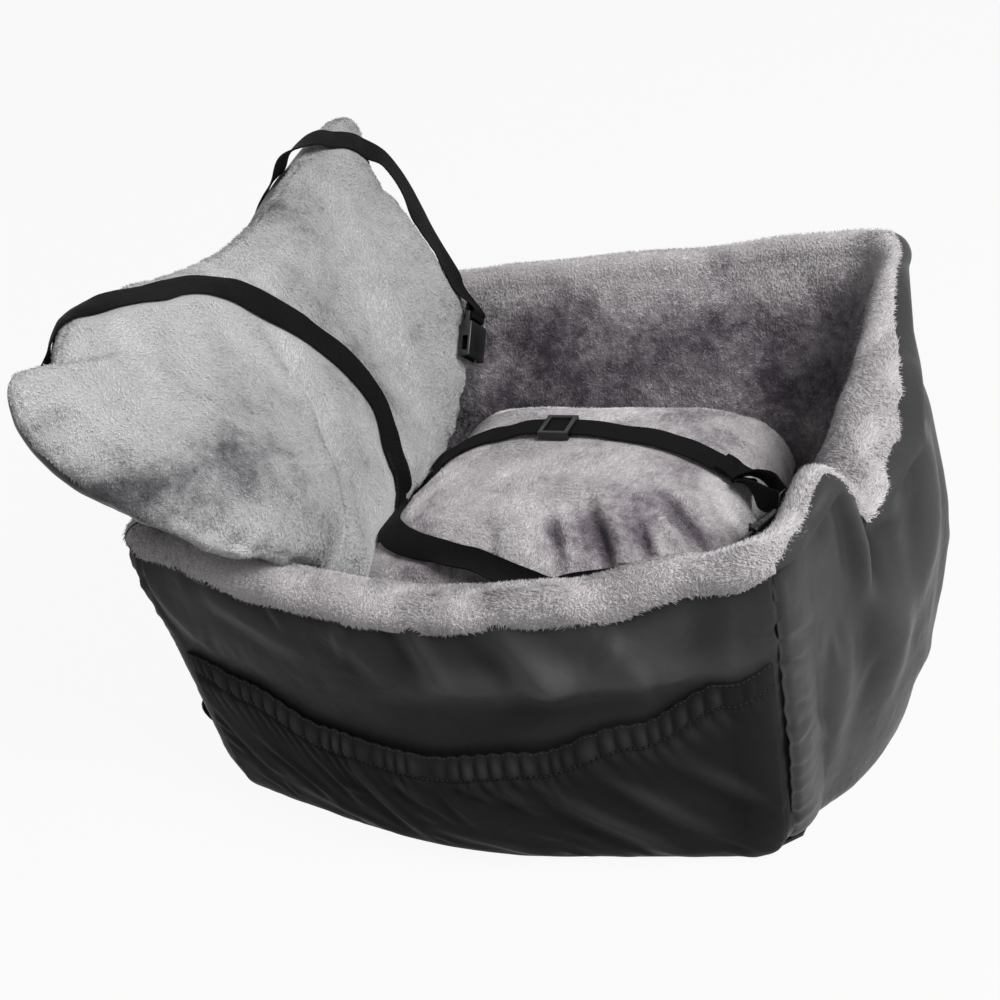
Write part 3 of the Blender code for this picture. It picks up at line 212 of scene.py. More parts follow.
def nylonFinish(look, name):
    made, nodes, links, shader = newFinish(name, look["colour"], look["roughness"])
    where = nodes.new("ShaderNodeTexCoord").outputs["Object"]
    cloud = addNoise(nodes, links, where, look["cloud"], 4)
    paintedLight = nodes.new("ShaderNodeAttribute")  # painted highlight: 1 where a fold stands out, so that its crest is painted paler
    paintedLight.attribute_name = "paintedLight"
    paler = addMath(nodes, links, "ADD", addMath(nodes, links, "MULTIPLY", cloud, 0.25), paintedLight.outputs["Fac"])
    # mixed towards the paler colour a little by random mottling, and fully where painted light is marked
    links.new(addMix(nodes, links, paler, look["colour"], look["paleAndHighlit"]), shader.inputs["Base Color"])
    rough = nodes.new("ShaderNodeMapRange")
    rough.inputs["To Min"].default_value = look["roughness"] - 0.07
    rough.inputs["To Max"].default_value = look["roughness"] + 0.09
    links.new(addNoise(nodes, links, where, 45, 5), rough.inputs["Value"])
    links.new(rough.outputs[0], shader.inputs["Roughness"])
    crinkle = addNoise(nodes, links, where, look["crinkle"], 4, 0.6)
    threads = addNoise(nodes, links, where, look["threads"], 1, 0.5, (1, 1, 0.35))
    height = addMath(nodes, links, "ADD", crinkle, addMath(nodes, links, "MULTIPLY", threads, 0.10))
    addBump(nodes, links, shader, height, look["bump"], 0.8)
    shader.inputs["Specular IOR Level"].default_value = look["gloss"][name]
    shader.inputs["Sheen Weight"].default_value = 0.02
    return made


plushLook = {
    # the tub's lining is the cushion's plush, its colours darker as painted shade inside the tub
    "tub": {
        "dark": (0.105, 0.088, 0.110), "middle": (0.300, 0.275, 0.296), "light": (0.640, 0.605, 0.620), "patch": 15,
        "shift": -0.01, "speckle": 0.34, "foot": 0.62,
    },
    "cushion": {
        "dark": (0.200, 0.165, 0.200), "middle": (0.560, 0.525, 0.542), "light": (0.760, 0.725, 0.738), "patch": 12,
        "shift": 0.03, "speckle": 0.22, "foot": 0.70,
    },
    "backrest": {
        "dark": (0.150, 0.146, 0.156), "middle": (0.535, 0.534, 0.541), "light": (0.700, 0.700, 0.706), "patch": 8,
        "shift": 0.05, "speckle": 0.20, "foot": 0.72,
    },
}


def plushFinish(name, look, tufts):
    made, nodes, links, shader = newFinish(name, look["middle"], 0.85)
    where = nodes.new("ShaderNodeTexCoord").outputs["Object"]
    cloud = addNoise(nodes, links, where, look["patch"], 4, 0.62)
    fine = addNoise(nodes, links, where, 95, 3, 0.6)
    if tufts:
        shade = nodes.new("ShaderNodeAttribute")
        shade.attribute_name = "shade"
        fine = addMath(
            nodes, links, "ADD", addMath(nodes, links, "MULTIPLY", fine, 0.45),
            addMath(nodes, links, "MULTIPLY", shade.outputs["Fac"], 0.55),
        )
    # painted light and shade: the pile paler where it lies open to the light, darker deep in the tub, in fold hollows
    # and in shaded places
    paintedPileLight = nodes.new("ShaderNodeAttribute")
    paintedPileLight.attribute_name = "openness"
    level = addMath(
        nodes, links, "ADD", addMath(nodes, links, "MULTIPLY", cloud, 1 - look["speckle"]),
        addMath(nodes, links, "MULTIPLY", fine, look["speckle"]),
    )
    level = addMath(nodes, links, "ADD", level, addMath(nodes, links, "MULTIPLY", paintedPileLight.outputs["Fac"], 0.25))
    level = addMath(nodes, links, "ADD", level, look["shift"])
    # the darkest stop serves mostly the painted shade places
    colour = addRamp(
        nodes, links, level,
        [
            (0.24, tuple(0.45 * v for v in look["dark"])), (0.36, look["dark"]), (0.50, look["middle"]),
            (0.66, look["light"]),
        ],
    )
    # painted shade between the tufts: each tuft darker towards its root, and the skin beneath them darker too
    if tufts:
        tip = nodes.new("ShaderNodeAttribute")
        tip.attribute_name = "tip"
        rise = nodes.new("ShaderNodeMapRange")
        rise.inputs["To Min"].default_value = look["foot"]
        rise.inputs["To Max"].default_value = 1.08
        links.new(tip.outputs["Fac"], rise.inputs["Value"])
        depth = nodes.new("ShaderNodeCombineColor")
        for socket in depth.inputs[:3]:
            links.new(rise.outputs[0], socket)
        colour = addMix(nodes, links, 1.0, colour, depth.outputs[0], "MULTIPLY")
    else:
        colour = addMix(nodes, links, 1.0, colour, (0.6, 0.6, 0.6), "MULTIPLY")
        addBump(nodes, links, shader, addNoise(nodes, links, where, 420, 3, 0.6), 0.002)
    links.new(colour, shader.inputs["Base Color"])
    shader.inputs["Sheen Weight"].default_value = 0.25
    shader.inputs["Sheen Roughness"].default_value = 0.5
    shader.inputs["Specular IOR Level"].default_value = 0.2
    return made


webbingLook = {"colour": (0.0030, 0.0030, 0.0033), "edge": (0.0100, 0.0100, 0.0105), "rib": 0.0017}


def webbingFinish(look):
    made, nodes, links, shader = newFinish("blackWebbing", look["colour"], 0.62)
    uv = nodes.new("ShaderNodeUVMap")
    uv.uv_map = "weave"
    split = nodes.new("ShaderNodeSeparateXYZ")
    links.new(uv.outputs[0], split.inputs[0])
    across, along = split.outputs[0], split.outputs[1]
    turns = 2 * math.pi / look["rib"]
    rib = addMath(nodes, links, "SINE", addMath(nodes, links, "MULTIPLY", along, turns), 0)
    thread = addMath(nodes, links, "SINE", addMath(nodes, links, "MULTIPLY", across, turns * 1.9), 0)
    lean = addMath(
        nodes, links, "MULTIPLY", rib,
        addMath(nodes, links, "ADD", addMath(nodes, links, "MULTIPLY", thread, 0.35), 0.65),
    )
    level = addMath(nodes, links, "ADD", addMath(nodes, links, "MULTIPLY", lean, 0.5), 0.5)
    links.new(addMix(nodes, links, level, look["colour"], look["edge"]), shader.inputs["Base Color"])
    addBump(nodes, links, shader, level, 0.0012)
    shader.inputs["Specular IOR Level"].default_value = 0.07
    return made


def mouldedFinish(name, colour, roughness, grain):
    made, nodes, links, shader = newFinish(name, colour, roughness)
    where = nodes.new("ShaderNodeTexCoord").outputs["Object"]
    rough = nodes.new("ShaderNodeMapRange")
    rough.inputs["To Min"].default_value = roughness - 0.06
    rough.inputs["To Max"].default_value = roughness + 0.10
    links.new(addNoise(nodes, links, where, 90, 4), rough.inputs["Value"])
    links.new(rough.outputs[0], shader.inputs["Roughness"])
    addBump(nodes, links, shader, addNoise(nodes, links, where, 2200, 2), grain)
    return made


def platedFinish():
    made, nodes, links, shader = newFinish("blackPlatedMetal", (0.05, 0.05, 0.055), 0.28, 1.0)
    where = nodes.new("ShaderNodeTexCoord").outputs["Object"]
    wear = addRamp(
        nodes, links, addNoise(nodes, links, where, 260, 4),
        [(0.45, (0.035, 0.035, 0.04)), (0.72, (0.12, 0.12, 0.125))],
    )
    links.new(wear, shader.inputs["Base Color"])
    addBump(nodes, links, shader, addNoise(nodes, links, where, 900, 3), 0.0001)
    return made


nylon, nearNylon, pocketNylon = (nylonFinish(nylonLook, name) for name in nylonLook["gloss"])
webbing = webbingFinish(webbingLook)
threadFinish = mouldedFinish("blackThread", (0.0035, 0.0035, 0.0038), 0.7, 0.0002)
plastic = mouldedFinish("blackMouldedPlastic", (0.0055, 0.0055, 0.006), 0.34, 0.00004)
plated = platedFinish()
plush = {
    key: (plushFinish(key + "Plush", look, False), plushFinish(key + "Pile", look, True))
    for key, look in plushLook.items()
}
print("finishes ready")

# shared shapes


# Smooth values from -1 to 1 on a plane, the same on each run.
def softNoise(x, y, seed):
    table = np.random.RandomState(seed).uniform(-1, 1, (64, 64))
    cellX, cellY = np.floor(x).astype(int), np.floor(y).astype(int)
    restX, restY = x - cellX, y - cellY
    restX, restY = restX * restX * (3 - 2 * restX), restY * restY * (3 - 2 * restY)
    a, b = table[cellX % 64, cellY % 64], table[(cellX + 1) % 64, cellY % 64]
    c, d = table[cellX % 64, (cellY + 1) % 64], table[(cellX + 1) % 64, (cellY + 1) % 64]
    return a * (1 - restX) * (1 - restY) + b * restX * (1 - restY) + c * (1 - restX) * restY + d * restX * restY


def unit(v):
    return v / np.maximum(np.linalg.norm(v, axis=-1, keepdims=True), 1e-12)


def eased(t):
    t = np.clip(t, 0, 1)
    return t * t * (3 - 2 * t)


# A Blender grid laid through rows and columns of points, with its own map in metres.
def gridPiece(name, points, look, uv=None, closedAround=False):
    if closedAround:
        points = np.concatenate([points, points[:, :1]], 1)
    rows, columns = points.shape[:2]
    bpy.ops.mesh.primitive_grid_add(x_subdivisions=columns - 1, y_subdivisions=rows - 1, size=1)
    made = bpy.context.object
    made.name = made.data.name = name
    mesh = made.data
    mesh.vertices.foreach_set("co", points.astype(np.float32).ravel())
    mesh.uv_layers[0].name = "weave"
    if uv is not None:
        corner = np.empty(len(mesh.loops), int)
        mesh.loops.foreach_get("vertex_index", corner)
        mesh.uv_layers[0].data.foreach_set("uv", uv.reshape(-1, 2)[corner].astype(np.float32).ravel())
    mesh.update()
    if closedAround:
        mergeDoubles(made, 1e-6)
    mesh.materials.append(look)
    mesh.shade_smooth()
    made.select_set(False)
    return made


def only(piece):
    bpy.ops.object.select_all(action="DESELECT")
    bpy.context.view_layer.objects.active = piece
    piece.select_set(True)


def mergeDoubles(piece, reach):
    only(piece)
    bpy.ops.object.mode_set(mode="EDIT")
    bpy.ops.mesh.select_all(action="SELECT")
    bpy.ops.mesh.remove_doubles(threshold=reach)
    bpy.ops.object.mode_set(mode="OBJECT")


def gridNormals(points):
    across = np.gradient(points, axis=1)
    up = np.gradient(points, axis=0)
    return unit(np.cross(across, up))


# Gives a sheet its thickness, on the side away from its face, and closes its edges.
def thicken(piece, depth, outwards=False):
    only(piece)
    wall = piece.modifiers.new("thickness", "SOLIDIFY")
    wall.thickness = depth
    wall.offset = 1 if outwards else -1
    bpy.ops.object.modifier_apply(modifier=wall.name)
    piece.select_set(False)


def coordsOf(piece):
    found = np.empty(len(piece.data.vertices) * 3)
    piece.data.vertices.foreach_get("co", found)
    return found.reshape(-1, 3)


def normalsOf(piece):
    found = np.empty(len(piece.data.vertices) * 3, np.float32)
    piece.data.vertex_normals.foreach_get("vector", found)
    return found.reshape(-1, 3).astype(float)


# The height of folds drawn as straight lines on a sheet: start, end, half width and height, in metres.
def foldField(s, z, folds):
    total = np.zeros_like(s)
    for s0, z0, s1, z1, width, height in folds:
        ds, dz = s1 - s0, z1 - z0
        length = math.hypot(ds, dz)
        along = ((s - s0) * ds + (z - z0) * dz) / length**2
        side = ((s - s0) * dz - (z - z0) * ds) / length
        ends = np.where((along > -0.15) & (along < 1.15), np.sin(np.pi * np.clip((along + 0.15) / 1.3, 0, 1)) ** 1.2, 0)
        total += height * ends * (
            np.exp(-((side / width) ** 2)) - 0.55 * np.exp(-(((side - 1.7 * width) / (1.1 * width)) ** 2))
        )
    return total


# Soft round places: their middle, half widths and strength.
def spotField(s, z, spots):
    total = np.zeros_like(s)
    for s0, z0, wide, tall, strength in spots:
        total += strength * np.exp(-(((s - s0) / wide) ** 2 + ((z - z0) / tall) ** 2))
    return total


# A number for each point, for the finishes: mostly how open to the light the pile is, 1 on the rim and less inside.
def markPoints(piece, values, name="openness"):
    piece.data.attributes.new(name, "FLOAT", "POINT").data.foreach_set("value", values.astype(np.float32).ravel())


# Small creases over a sheet of that size, for the ones too many to name.
def scatterFolds(seed, count, size, angles, reach, width, height):
    draw = np.random.RandomState(seed)
    made = []
    for _ in range(count):
        s, z = draw.uniform(0, size[0]), draw.uniform(0.01, size[1])
        angle = math.radians(draw.uniform(*angles))
        length = draw.uniform(*reach)
        end = s + length * math.cos(angle), z + length * math.sin(angle)
        made.append((s, z, *end, draw.uniform(*width), draw.uniform(*height)))
    return made


# the tub's plan, as the solids have it, with its rim after the photo

tub = {
    "baseLength": 0.536, "baseWidth": 0.352, "rimHeight": 0.330,
    "rearReach": (0.030, 0.036), "frontReach": (0.048, 0.062), "noseReach": (0.012, 0.038),
    "radii": (0.022, 0.055, 0.055, 0.022), "cornerShare": 0.09,
    "wallFloor": 0.052, "wallRim": 0.017, "frontWallFloor": 0.088, "roll": 0.011, "floor": 0.108,
    "swell": {
        "near": (0.030, 0.034, 0.018), "front": (0.036, 0.069, 0.036), "far": (0.022, 0.030, 0.012),
        "rear": (0.004, 0.008, 0.002),
    },
    "innerSwell": {"near": 0.016, "front": 0.006, "far": 0.010, "rear": 0.002},
    "top": {
        "near": ((0, 0.925), (0.10, 0.900), (0.30, 0.855), (0.52, 0.840), (0.75, 0.880), (0.92, 0.975), (1, 0.990)),
        "front": (
            (0, 0.990), (0.09, 0.985), (0.20, 1.015), (0.275, 0.890), (0.42, 0.925), (0.65, 1.000), (0.88, 1.100),
            (1, 1.115),
        ),
        "far": ((0, 1.115), (0.12, 1.100), (0.35, 1.060), (0.60, 1.040), (0.85, 1.010), (1, 0.985)),
        "rear": ((0, 0.985), (0.20, 0.940), (0.50, 0.915), (0.80, 0.915), (1, 0.925)),
    },
    "sheet": 0.0018,
    "mouth": (
        (0, 0.545), (0.12, 0.500), (0.27, 0.420), (0.45, 0.395), (0.62, 0.430), (0.78, 0.520), (0.92, 0.650),
        (1, 0.705),
    ),
}
sideNames = ("near", "front", "far", "rear")


def fromTable(table, place):
    places, heights = np.array(table).T
    k = np.clip(np.searchsorted(places, place) - 1, 0, len(places) - 2)
    t = np.clip((place - places[k]) / (places[k + 1] - places[k]), 0, 1)
    return heights[k] + (heights[k + 1] - heights[k]) * t * t * (3 - 2 * t)


def cornersAt(z, inner=False):
    level = np.maximum(0, z / tub["rimHeight"])
    rear, half = -tub["baseLength"] / 2, tub["baseWidth"] / 2
    ones = np.ones_like(z)
    near, far = tub["frontReach"]
    corners = [
        np.stack([rear * ones, -half - tub["rearReach"][0] * level], -1),
        np.stack([-rear + tub["noseReach"][0] * level, -half - near * level], -1),
        np.stack([-rear + tub["noseReach"][1] * level, half + far * level], -1),
        np.stack([rear * ones, half + tub["rearReach"][1] * level], -1),
    ]
    if inner:
        level = np.minimum(1, level)
        wall = tub["wallFloor"] + (tub["wallRim"] - tub["wallFloor"]) * level
        front = tub["frontWallFloor"] + (tub["wallRim"] - tub["frontWallFloor"]) * level
        for corner, (x, y) in zip(
            corners, ((tub["wallRim"], wall), (-front, wall), (-front, -wall), (tub["wallRim"], -wall)),
        ):
            corner[:, 0] += x
            corner[:, 1] += y
    return corners


# Points on one side of the tub's rounded outline, at a place from 0 to 1 and a height.
def planPoint(side, place, z, inner=False):
    share = tub["cornerShare"]
    k = sideNames.index(side)
    corners = cornersAt(z, inner)
    before, start, end, after = (corners[(k + i) % 4] for i in (-1, 0, 1, 2))
    firstRadius, lastRadius = tub["radii"][k], tub["radii"][(k + 1) % 4]
    along = unit(end - start)
    first, last = start + along * firstRadius, end - along * lastRadius
    level = np.clip(z / tub["rimHeight"], 0, 1)
    if inner:
        swell = tub["innerSwell"][side] * np.ones_like(z)
    else:
        base, middle, rim = tub["swell"][side]
        swell = base * (1 - level) * (1 - 2 * level) + middle * 4 * level * (1 - level) + rim * level * (2 * level - 1)
    q = np.clip((place - share) / (1 - 2 * share), 0, 1)
    outward = np.stack([along[:, 1], -along[:, 0]], -1)
    straight = first + (last - first) * q[:, None] + outward * (swell * np.sin(np.pi * q) ** 1.3)[:, None]

    def bent(a, b, c, t):
        t = t[:, None]
        return a * (1 - t) ** 2 + b * 2 * t * (1 - t) + c * t**2

    opening = bent(start + unit(before - start) * firstRadius, start, first, 0.5 + 0.5 * place / share)
    closing = bent(last, end, end + unit(after - end) * lastRadius, 0.5 * (place - 1 + share) / share)
    flat = np.where((place < share)[:, None], opening, np.where((place > 1 - share)[:, None], closing, straight))
    return np.concatenate([flat, z[:, None]], 1)


def crownAt(side, place):
    return tub["rimHeight"] * fromTable(tub["top"][side], place) - tub["roll"]


def awayAt(side, place):
    crown = crownAt(side, place)
    return unit(planPoint(side, place, crown) - planPoint(side, place, crown, True))


footTurn = {"depth": 0.007, "height": 0.022, "cornerDepth": 0.020, "cornerHeight": 0.060, "cornerReach": 0.035}


# The cover turns under at the foot, so that no sharp edge stands on the floor.
def footInset(z, edge):
    facts = footTurn
    corner = facts["cornerDepth"] * np.exp(-edge / facts["cornerReach"])
    low, cornerLow = np.clip(1 - z / facts["height"], 0, 1), np.clip(1 - z / facts["cornerHeight"], 0, 1)
    return facts["depth"] * low**2 + corner * cornerLow**2


# Places along a wall, closer together round the corners and a little past both, so that no gap shows.
def wallPlaces(count):
    past, share, few = 0.003, tub["cornerShare"], count // 8
    middle = np.linspace(share, 1 - share, count - 2 * few + 2)[1:-1]
    return np.concatenate([np.linspace(-past, share, few), middle, np.linspace(1 - share, 1 + past, few)])


# nylon walls

namedFolds = {  # place along the wall and height at each end, half width and height of the fold
    "near": (
        (0.520, 0.268, 0.558, 0.205, 0.011, 0.0042), (0.640, 0.271, 0.700, 0.205, 0.014, 0.0060),
        (0.760, 0.275, 0.810, 0.215, 0.016, 0.0040), (0.480, 0.205, 0.930, 0.232, 0.017, 0.0052),
        (0.790, 0.266, 0.757, 0.236, 0.0045, 0.0022), (0.890, 0.292, 0.780, 0.243, 0.012, 0.0038),
        (0.300, 0.272, 0.318, 0.245, 0.005, 0.0014),
        (0.200, 0.262, 0.330, 0.222, 0.012, 0.0022), (0.400, 0.258, 0.470, 0.215, 0.012, 0.0020),
        (0.930, 0.300, 0.905, 0.215, 0.010, 0.0022),
        (0.080, 0.275, 0.140, 0.190, 0.010, 0.0020), (0.700, 0.262, 0.690, 0.200, 0.014, 0.0022),
        (0.960, 0.200, 0.860, 0.190, 0.010, 0.0016),
    ),
    "front": (
        (0.000, 0.237, 0.060, 0.228, 0.004, 0.0016), (0.000, 0.196, 0.075, 0.180, 0.005, 0.0016),
        (0.000, 0.150, 0.060, 0.158, 0.005, 0.0014),
        (0.205, 0.325, 0.235, 0.235, 0.006, 0.0050), (0.232, 0.300, 0.262, 0.215, 0.007, -0.0040),
        (0.020, 0.262, 0.120, 0.240, 0.007, 0.0022), (0.250, 0.285, 0.345, 0.279, 0.008, 0.0030),
        (0.230, 0.270, 0.300, 0.130, 0.014, 0.0034),
        (0.335, 0.280, 0.270, 0.100, 0.015, 0.0040), (0.180, 0.200, 0.115, 0.060, 0.014, 0.0030),
        (0.500, 0.300, 0.330, 0.170, 0.018, 0.0045),
        (0.620, 0.310, 0.560, 0.120, 0.018, 0.0036), (0.780, 0.335, 0.740, 0.150, 0.016, 0.0034),
        (0.930, 0.345, 0.880, 0.180, 0.012, 0.0030),
        (0.420, 0.100, 0.700, 0.060, 0.016, 0.0026),
    ),
    "far": (
        (0.060, 0.345, 0.130, 0.210, 0.012, 0.0030), (0.230, 0.330, 0.280, 0.180, 0.014, 0.0032),
        (0.460, 0.320, 0.420, 0.130, 0.016, 0.0036),
        (0.660, 0.310, 0.700, 0.150, 0.015, 0.0032), (0.860, 0.300, 0.820, 0.160, 0.012, 0.0028),
        (0.200, 0.080, 0.500, 0.050, 0.014, 0.0024),
        (0.560, 0.070, 0.860, 0.090, 0.014, 0.0024),
    ),
    "rear": (
        (0.150, 0.290, 0.220, 0.120, 0.014, 0.0028), (0.420, 0.285, 0.400, 0.110, 0.016, 0.0030),
        (0.640, 0.290, 0.600, 0.120, 0.015, 0.0028),
        (0.860, 0.285, 0.800, 0.130, 0.012, 0.0026), (0.250, 0.060, 0.600, 0.050, 0.012, 0.0020),
    ),
}


paintedWallLight = {  # painted light on each wall's nylon: how pale it is painted overall, and its painted highlight and painted shade places
    "near": (
        0.12,
        (
            (0.80, 0.238, 0.11, 0.030, 0.50), (0.40, 0.250, 0.18, 0.040, -0.10), (0.12, 0.260, 0.06, 0.040, 0.12),
            (0.62, 0.205, 0.10, 0.022, 0.25), (0.95, 0.200, 0.06, 0.060, 0.25),
        ),
    ),
    "front": (0.34, ((0.22, 0.220, 0.12, 0.060, 0.30),)), "far": (0.25, ()), "rear": (0.25, ()),
}


def wallLength(side):
    place = np.linspace(0, 1, 101)
    line = planPoint(side, place, np.full(101, 0.16))
    return float(np.linalg.norm(np.diff(line, axis=0), axis=1).sum())


wallCloth = {  # heights in metres, each with its reach where it has one
    "folds": 1.5, "billow": 0.0046, "ripple": 0.0007, "crackle": 0.0002,
    "pucker": (0.0016, 0.016), "seam": (0.0026, 0.0035), "gather": (0.0014, 0.020), "tuck": (0.0022, 0.012),
}


def wallWrinkles(side, place, z, crown):
    facts = wallCloth
    length = wallLength(side)
    s = place * length
    seed = 40 + 7 * sideNames.index(side)
    folds = [(a * length, b, c * length, d, w, h) for a, b, c, d, w, h in namedFolds[side]]
    folds += scatterFolds(
        seed, count=16, size=(length, 0.33), angles=(35, 150), reach=(0.03, 0.08), width=(0.004, 0.009),
        height=(0.0005, 0.0013),
    )
    rise = facts["folds"] * foldField(s, z, folds)
    ripples = softNoise(s * 30 + z * 12, z * 24 - s * 9, seed + 1)
    rise += facts["billow"] * softNoise(s * 10, z * 8, seed) + facts["ripple"] * ripples
    rise += facts["crackle"] * (1 - 2 * np.abs(softNoise(s * 80, z * 60, seed + 2)))
    edge = np.minimum(place, 1 - place) * length
    pucker = softNoise(z * 95, edge * 20, seed + 3) + 0.5 * softNoise(z * 190, edge * 30, seed + 4)
    height, reach = facts["pucker"]
    rise += height * np.exp(-edge / reach) * pucker
    height, reach = facts["seam"]
    rise -= height * np.exp(-((edge / reach) ** 2))
    under = np.maximum(0, crown - z)
    height, reach = facts["gather"]
    rise += height * np.exp(-under / reach) * softNoise(s * 75, z * 12, seed + 5)
    height, reach = facts["tuck"]
    rise -= height * np.exp(-((under / reach) ** 2))
    return rise


# Where the cloth ends and the plush begins: below 0 in metres down the outside, above 0 as the angle over the roll.
plushStart = {
    "near": ((0, 0.35), (0.08, 0), (0.20, -0.0070), (0.93, -0.0085), (1, -0.001)),
    "front": (
        (0, 0.55), (0.06, 1.05), (0.195, 1.35), (0.225, -0.010), (0.25, -0.008), (0.30, 0.5), (0.38, 1.0),
        (0.80, 1.35), (1, 1.35),
    ),
    "far": ((0, 1.35), (0.15, 1.1), (0.40, 0.5), (0.80, 0.5), (1, 0.4)), "rear": ((0, 0.3), (1, 0.3)),
}


# One line over the rim for each place: up the outside, over the roll and down the inside.
def rimPoint(side, place, turn):
    crown = crownAt(side, place)
    outer, inner = planPoint(side, place, crown), planPoint(side, place, crown, True)
    centre, half = (outer + inner) / 2, (outer - inner) / 2
    angle = np.clip(turn, 0, math.pi)[:, None]
    over = centre + half * np.cos(angle) + np.array([0, 0, 1]) * tub["roll"] * np.sin(angle)
    below = planPoint(side, place, crown + np.minimum(0, turn))
    inside = planPoint(side, place, crown - np.maximum(0, turn - math.pi), True)
    return np.where((turn < 0)[:, None], below, np.where((turn > math.pi)[:, None], inside, over))


def wavyStart(side, place):
    edge = fromTable(plushStart[side], place)
    s = place * wallLength(side)
    wave = softNoise(s * 42, s * 0 + 2, 777) + 0.5 * softNoise(s * 95, s * 0 + 7, 778)
    return np.where(edge < 0, np.minimum(edge + 0.0016 * wave, -0.0005), np.maximum(edge + 0.10 * wave, 0.02))


shell = {"rows": 110, "rollRows": 8, "thick": 0.0012, "columns": {"near": 300, "front": 260, "far": 200, "rear": 150}}


def makeShell(side, facts):
    place, rows = wallPlaces(facts["columns"][side]), facts["rows"]
    crown = crownAt(side, place)
    edge = wavyStart(side, place)
    length = wallLength(side)
    ends = np.minimum(place, 1 - place) * length
    waves = np.clip(softNoise(place * length * 14, place * 0 + 9, 61 + sideNames.index(side)) + 0.35, 0, 1)
    foot = 0.0008 + 0.0042 * waves + 0.010 * np.exp(-ends / 0.022)  # the cover's lower edge, lifted at the corners
    lines, heights = [], []
    for share in np.linspace(0, 1, rows):
        z = foot + (crown - foot) * share**1.1
        lines.append(planPoint(side, place, z))
        heights.append(z)
    for share in np.linspace(0, 1, facts["rollRows"] + 1)[1:]:
        turn = np.maximum(edge + 0.15, 0) * share
        lines.append(rimPoint(side, place, turn))
        heights.append(crown)
    base, z = np.array(lines), np.array(heights)
    normals = gridNormals(base)
    away = awayAt(side, place)[None]
    onRoll = (np.arange(len(lines)) >= rows)[:, None, None]
    spread = np.repeat(place[None], len(lines), 0)
    rise = wallWrinkles(side, spread, z, crown[None])
    if side == "near":  # the pocket lies on it up to its mouth, and keeps it calm
        mouth = tub["rimHeight"] * fromTable(tub["mouth"], np.clip((place - 0.09) / 0.894, 0, 1))[None]
        free = eased((z - mouth) / 0.03)
        rise = np.where(z < mouth, rise * 0.25 - 0.0012, rise * (0.25 + 0.75 * free) - 0.0012 * (1 - free))
    rise = np.where(onRoll[..., 0], 0.0004, rise) + tub["sheet"] - footInset(z, ends[None])
    direction = np.where(onRoll, normals, away)
    look = nearNylon if side == "near" else nylon
    made = gridPiece("nylonWall" + side.capitalize(), base + direction * rise[..., None], look)
    level, spots = paintedWallLight[side]
    # painted highlights where the folds stand out, painted shade in their hollows, and the wall's painted light places
    markPoints(made, np.clip(level + 55 * (rise - tub["sheet"]) + spotField(spread, z, spots), 0, 1), "paintedLight")
    thicken(made, facts["thick"])
    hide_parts("shell_" + side, "filling_" + side)
    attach(made, "tub")


for sideName in sideNames:
    makeShell(sideName, shell)
print("nylon walls made")

# the pocket on the near wall

pocket = {
    "gathers": 41, "ruffle": 0.0044, "hem": 0.021, "belly": 0.011, "gap": 0.0040, "thick": 0.0009,
    "columns": 640, "hemRows": 22, "rows": 54,
    "folds": (  # as in namedFolds
        (0.200, 0.104, 0.302, 0.050, 0.0050, 0.0030), (0.300, 0.108, 0.360, 0.060, 0.0050, 0.0026),
        (0.368, 0.110, 0.450, 0.034, 0.0060, 0.0038),
        (0.428, 0.108, 0.480, 0.078, 0.0045, 0.0030), (0.500, 0.108, 0.545, 0.060, 0.0050, 0.0026),
        (0.532, 0.112, 0.582, 0.092, 0.0045, 0.0028),
        (0.580, 0.114, 0.655, 0.078, 0.0065, 0.0038), (0.640, 0.118, 0.830, 0.012, 0.0095, 0.0048),
        (0.730, 0.126, 0.880, 0.042, 0.0085, 0.0040),
        (0.830, 0.138, 0.965, 0.082, 0.0085, 0.0030), (0.120, 0.120, 0.190, 0.060, 0.0060, 0.0024),
        (0.240, 0.050, 0.420, 0.020, 0.0080, 0.0026),
        (0.480, 0.050, 0.640, 0.018, 0.0080, 0.0030),
    ),
}


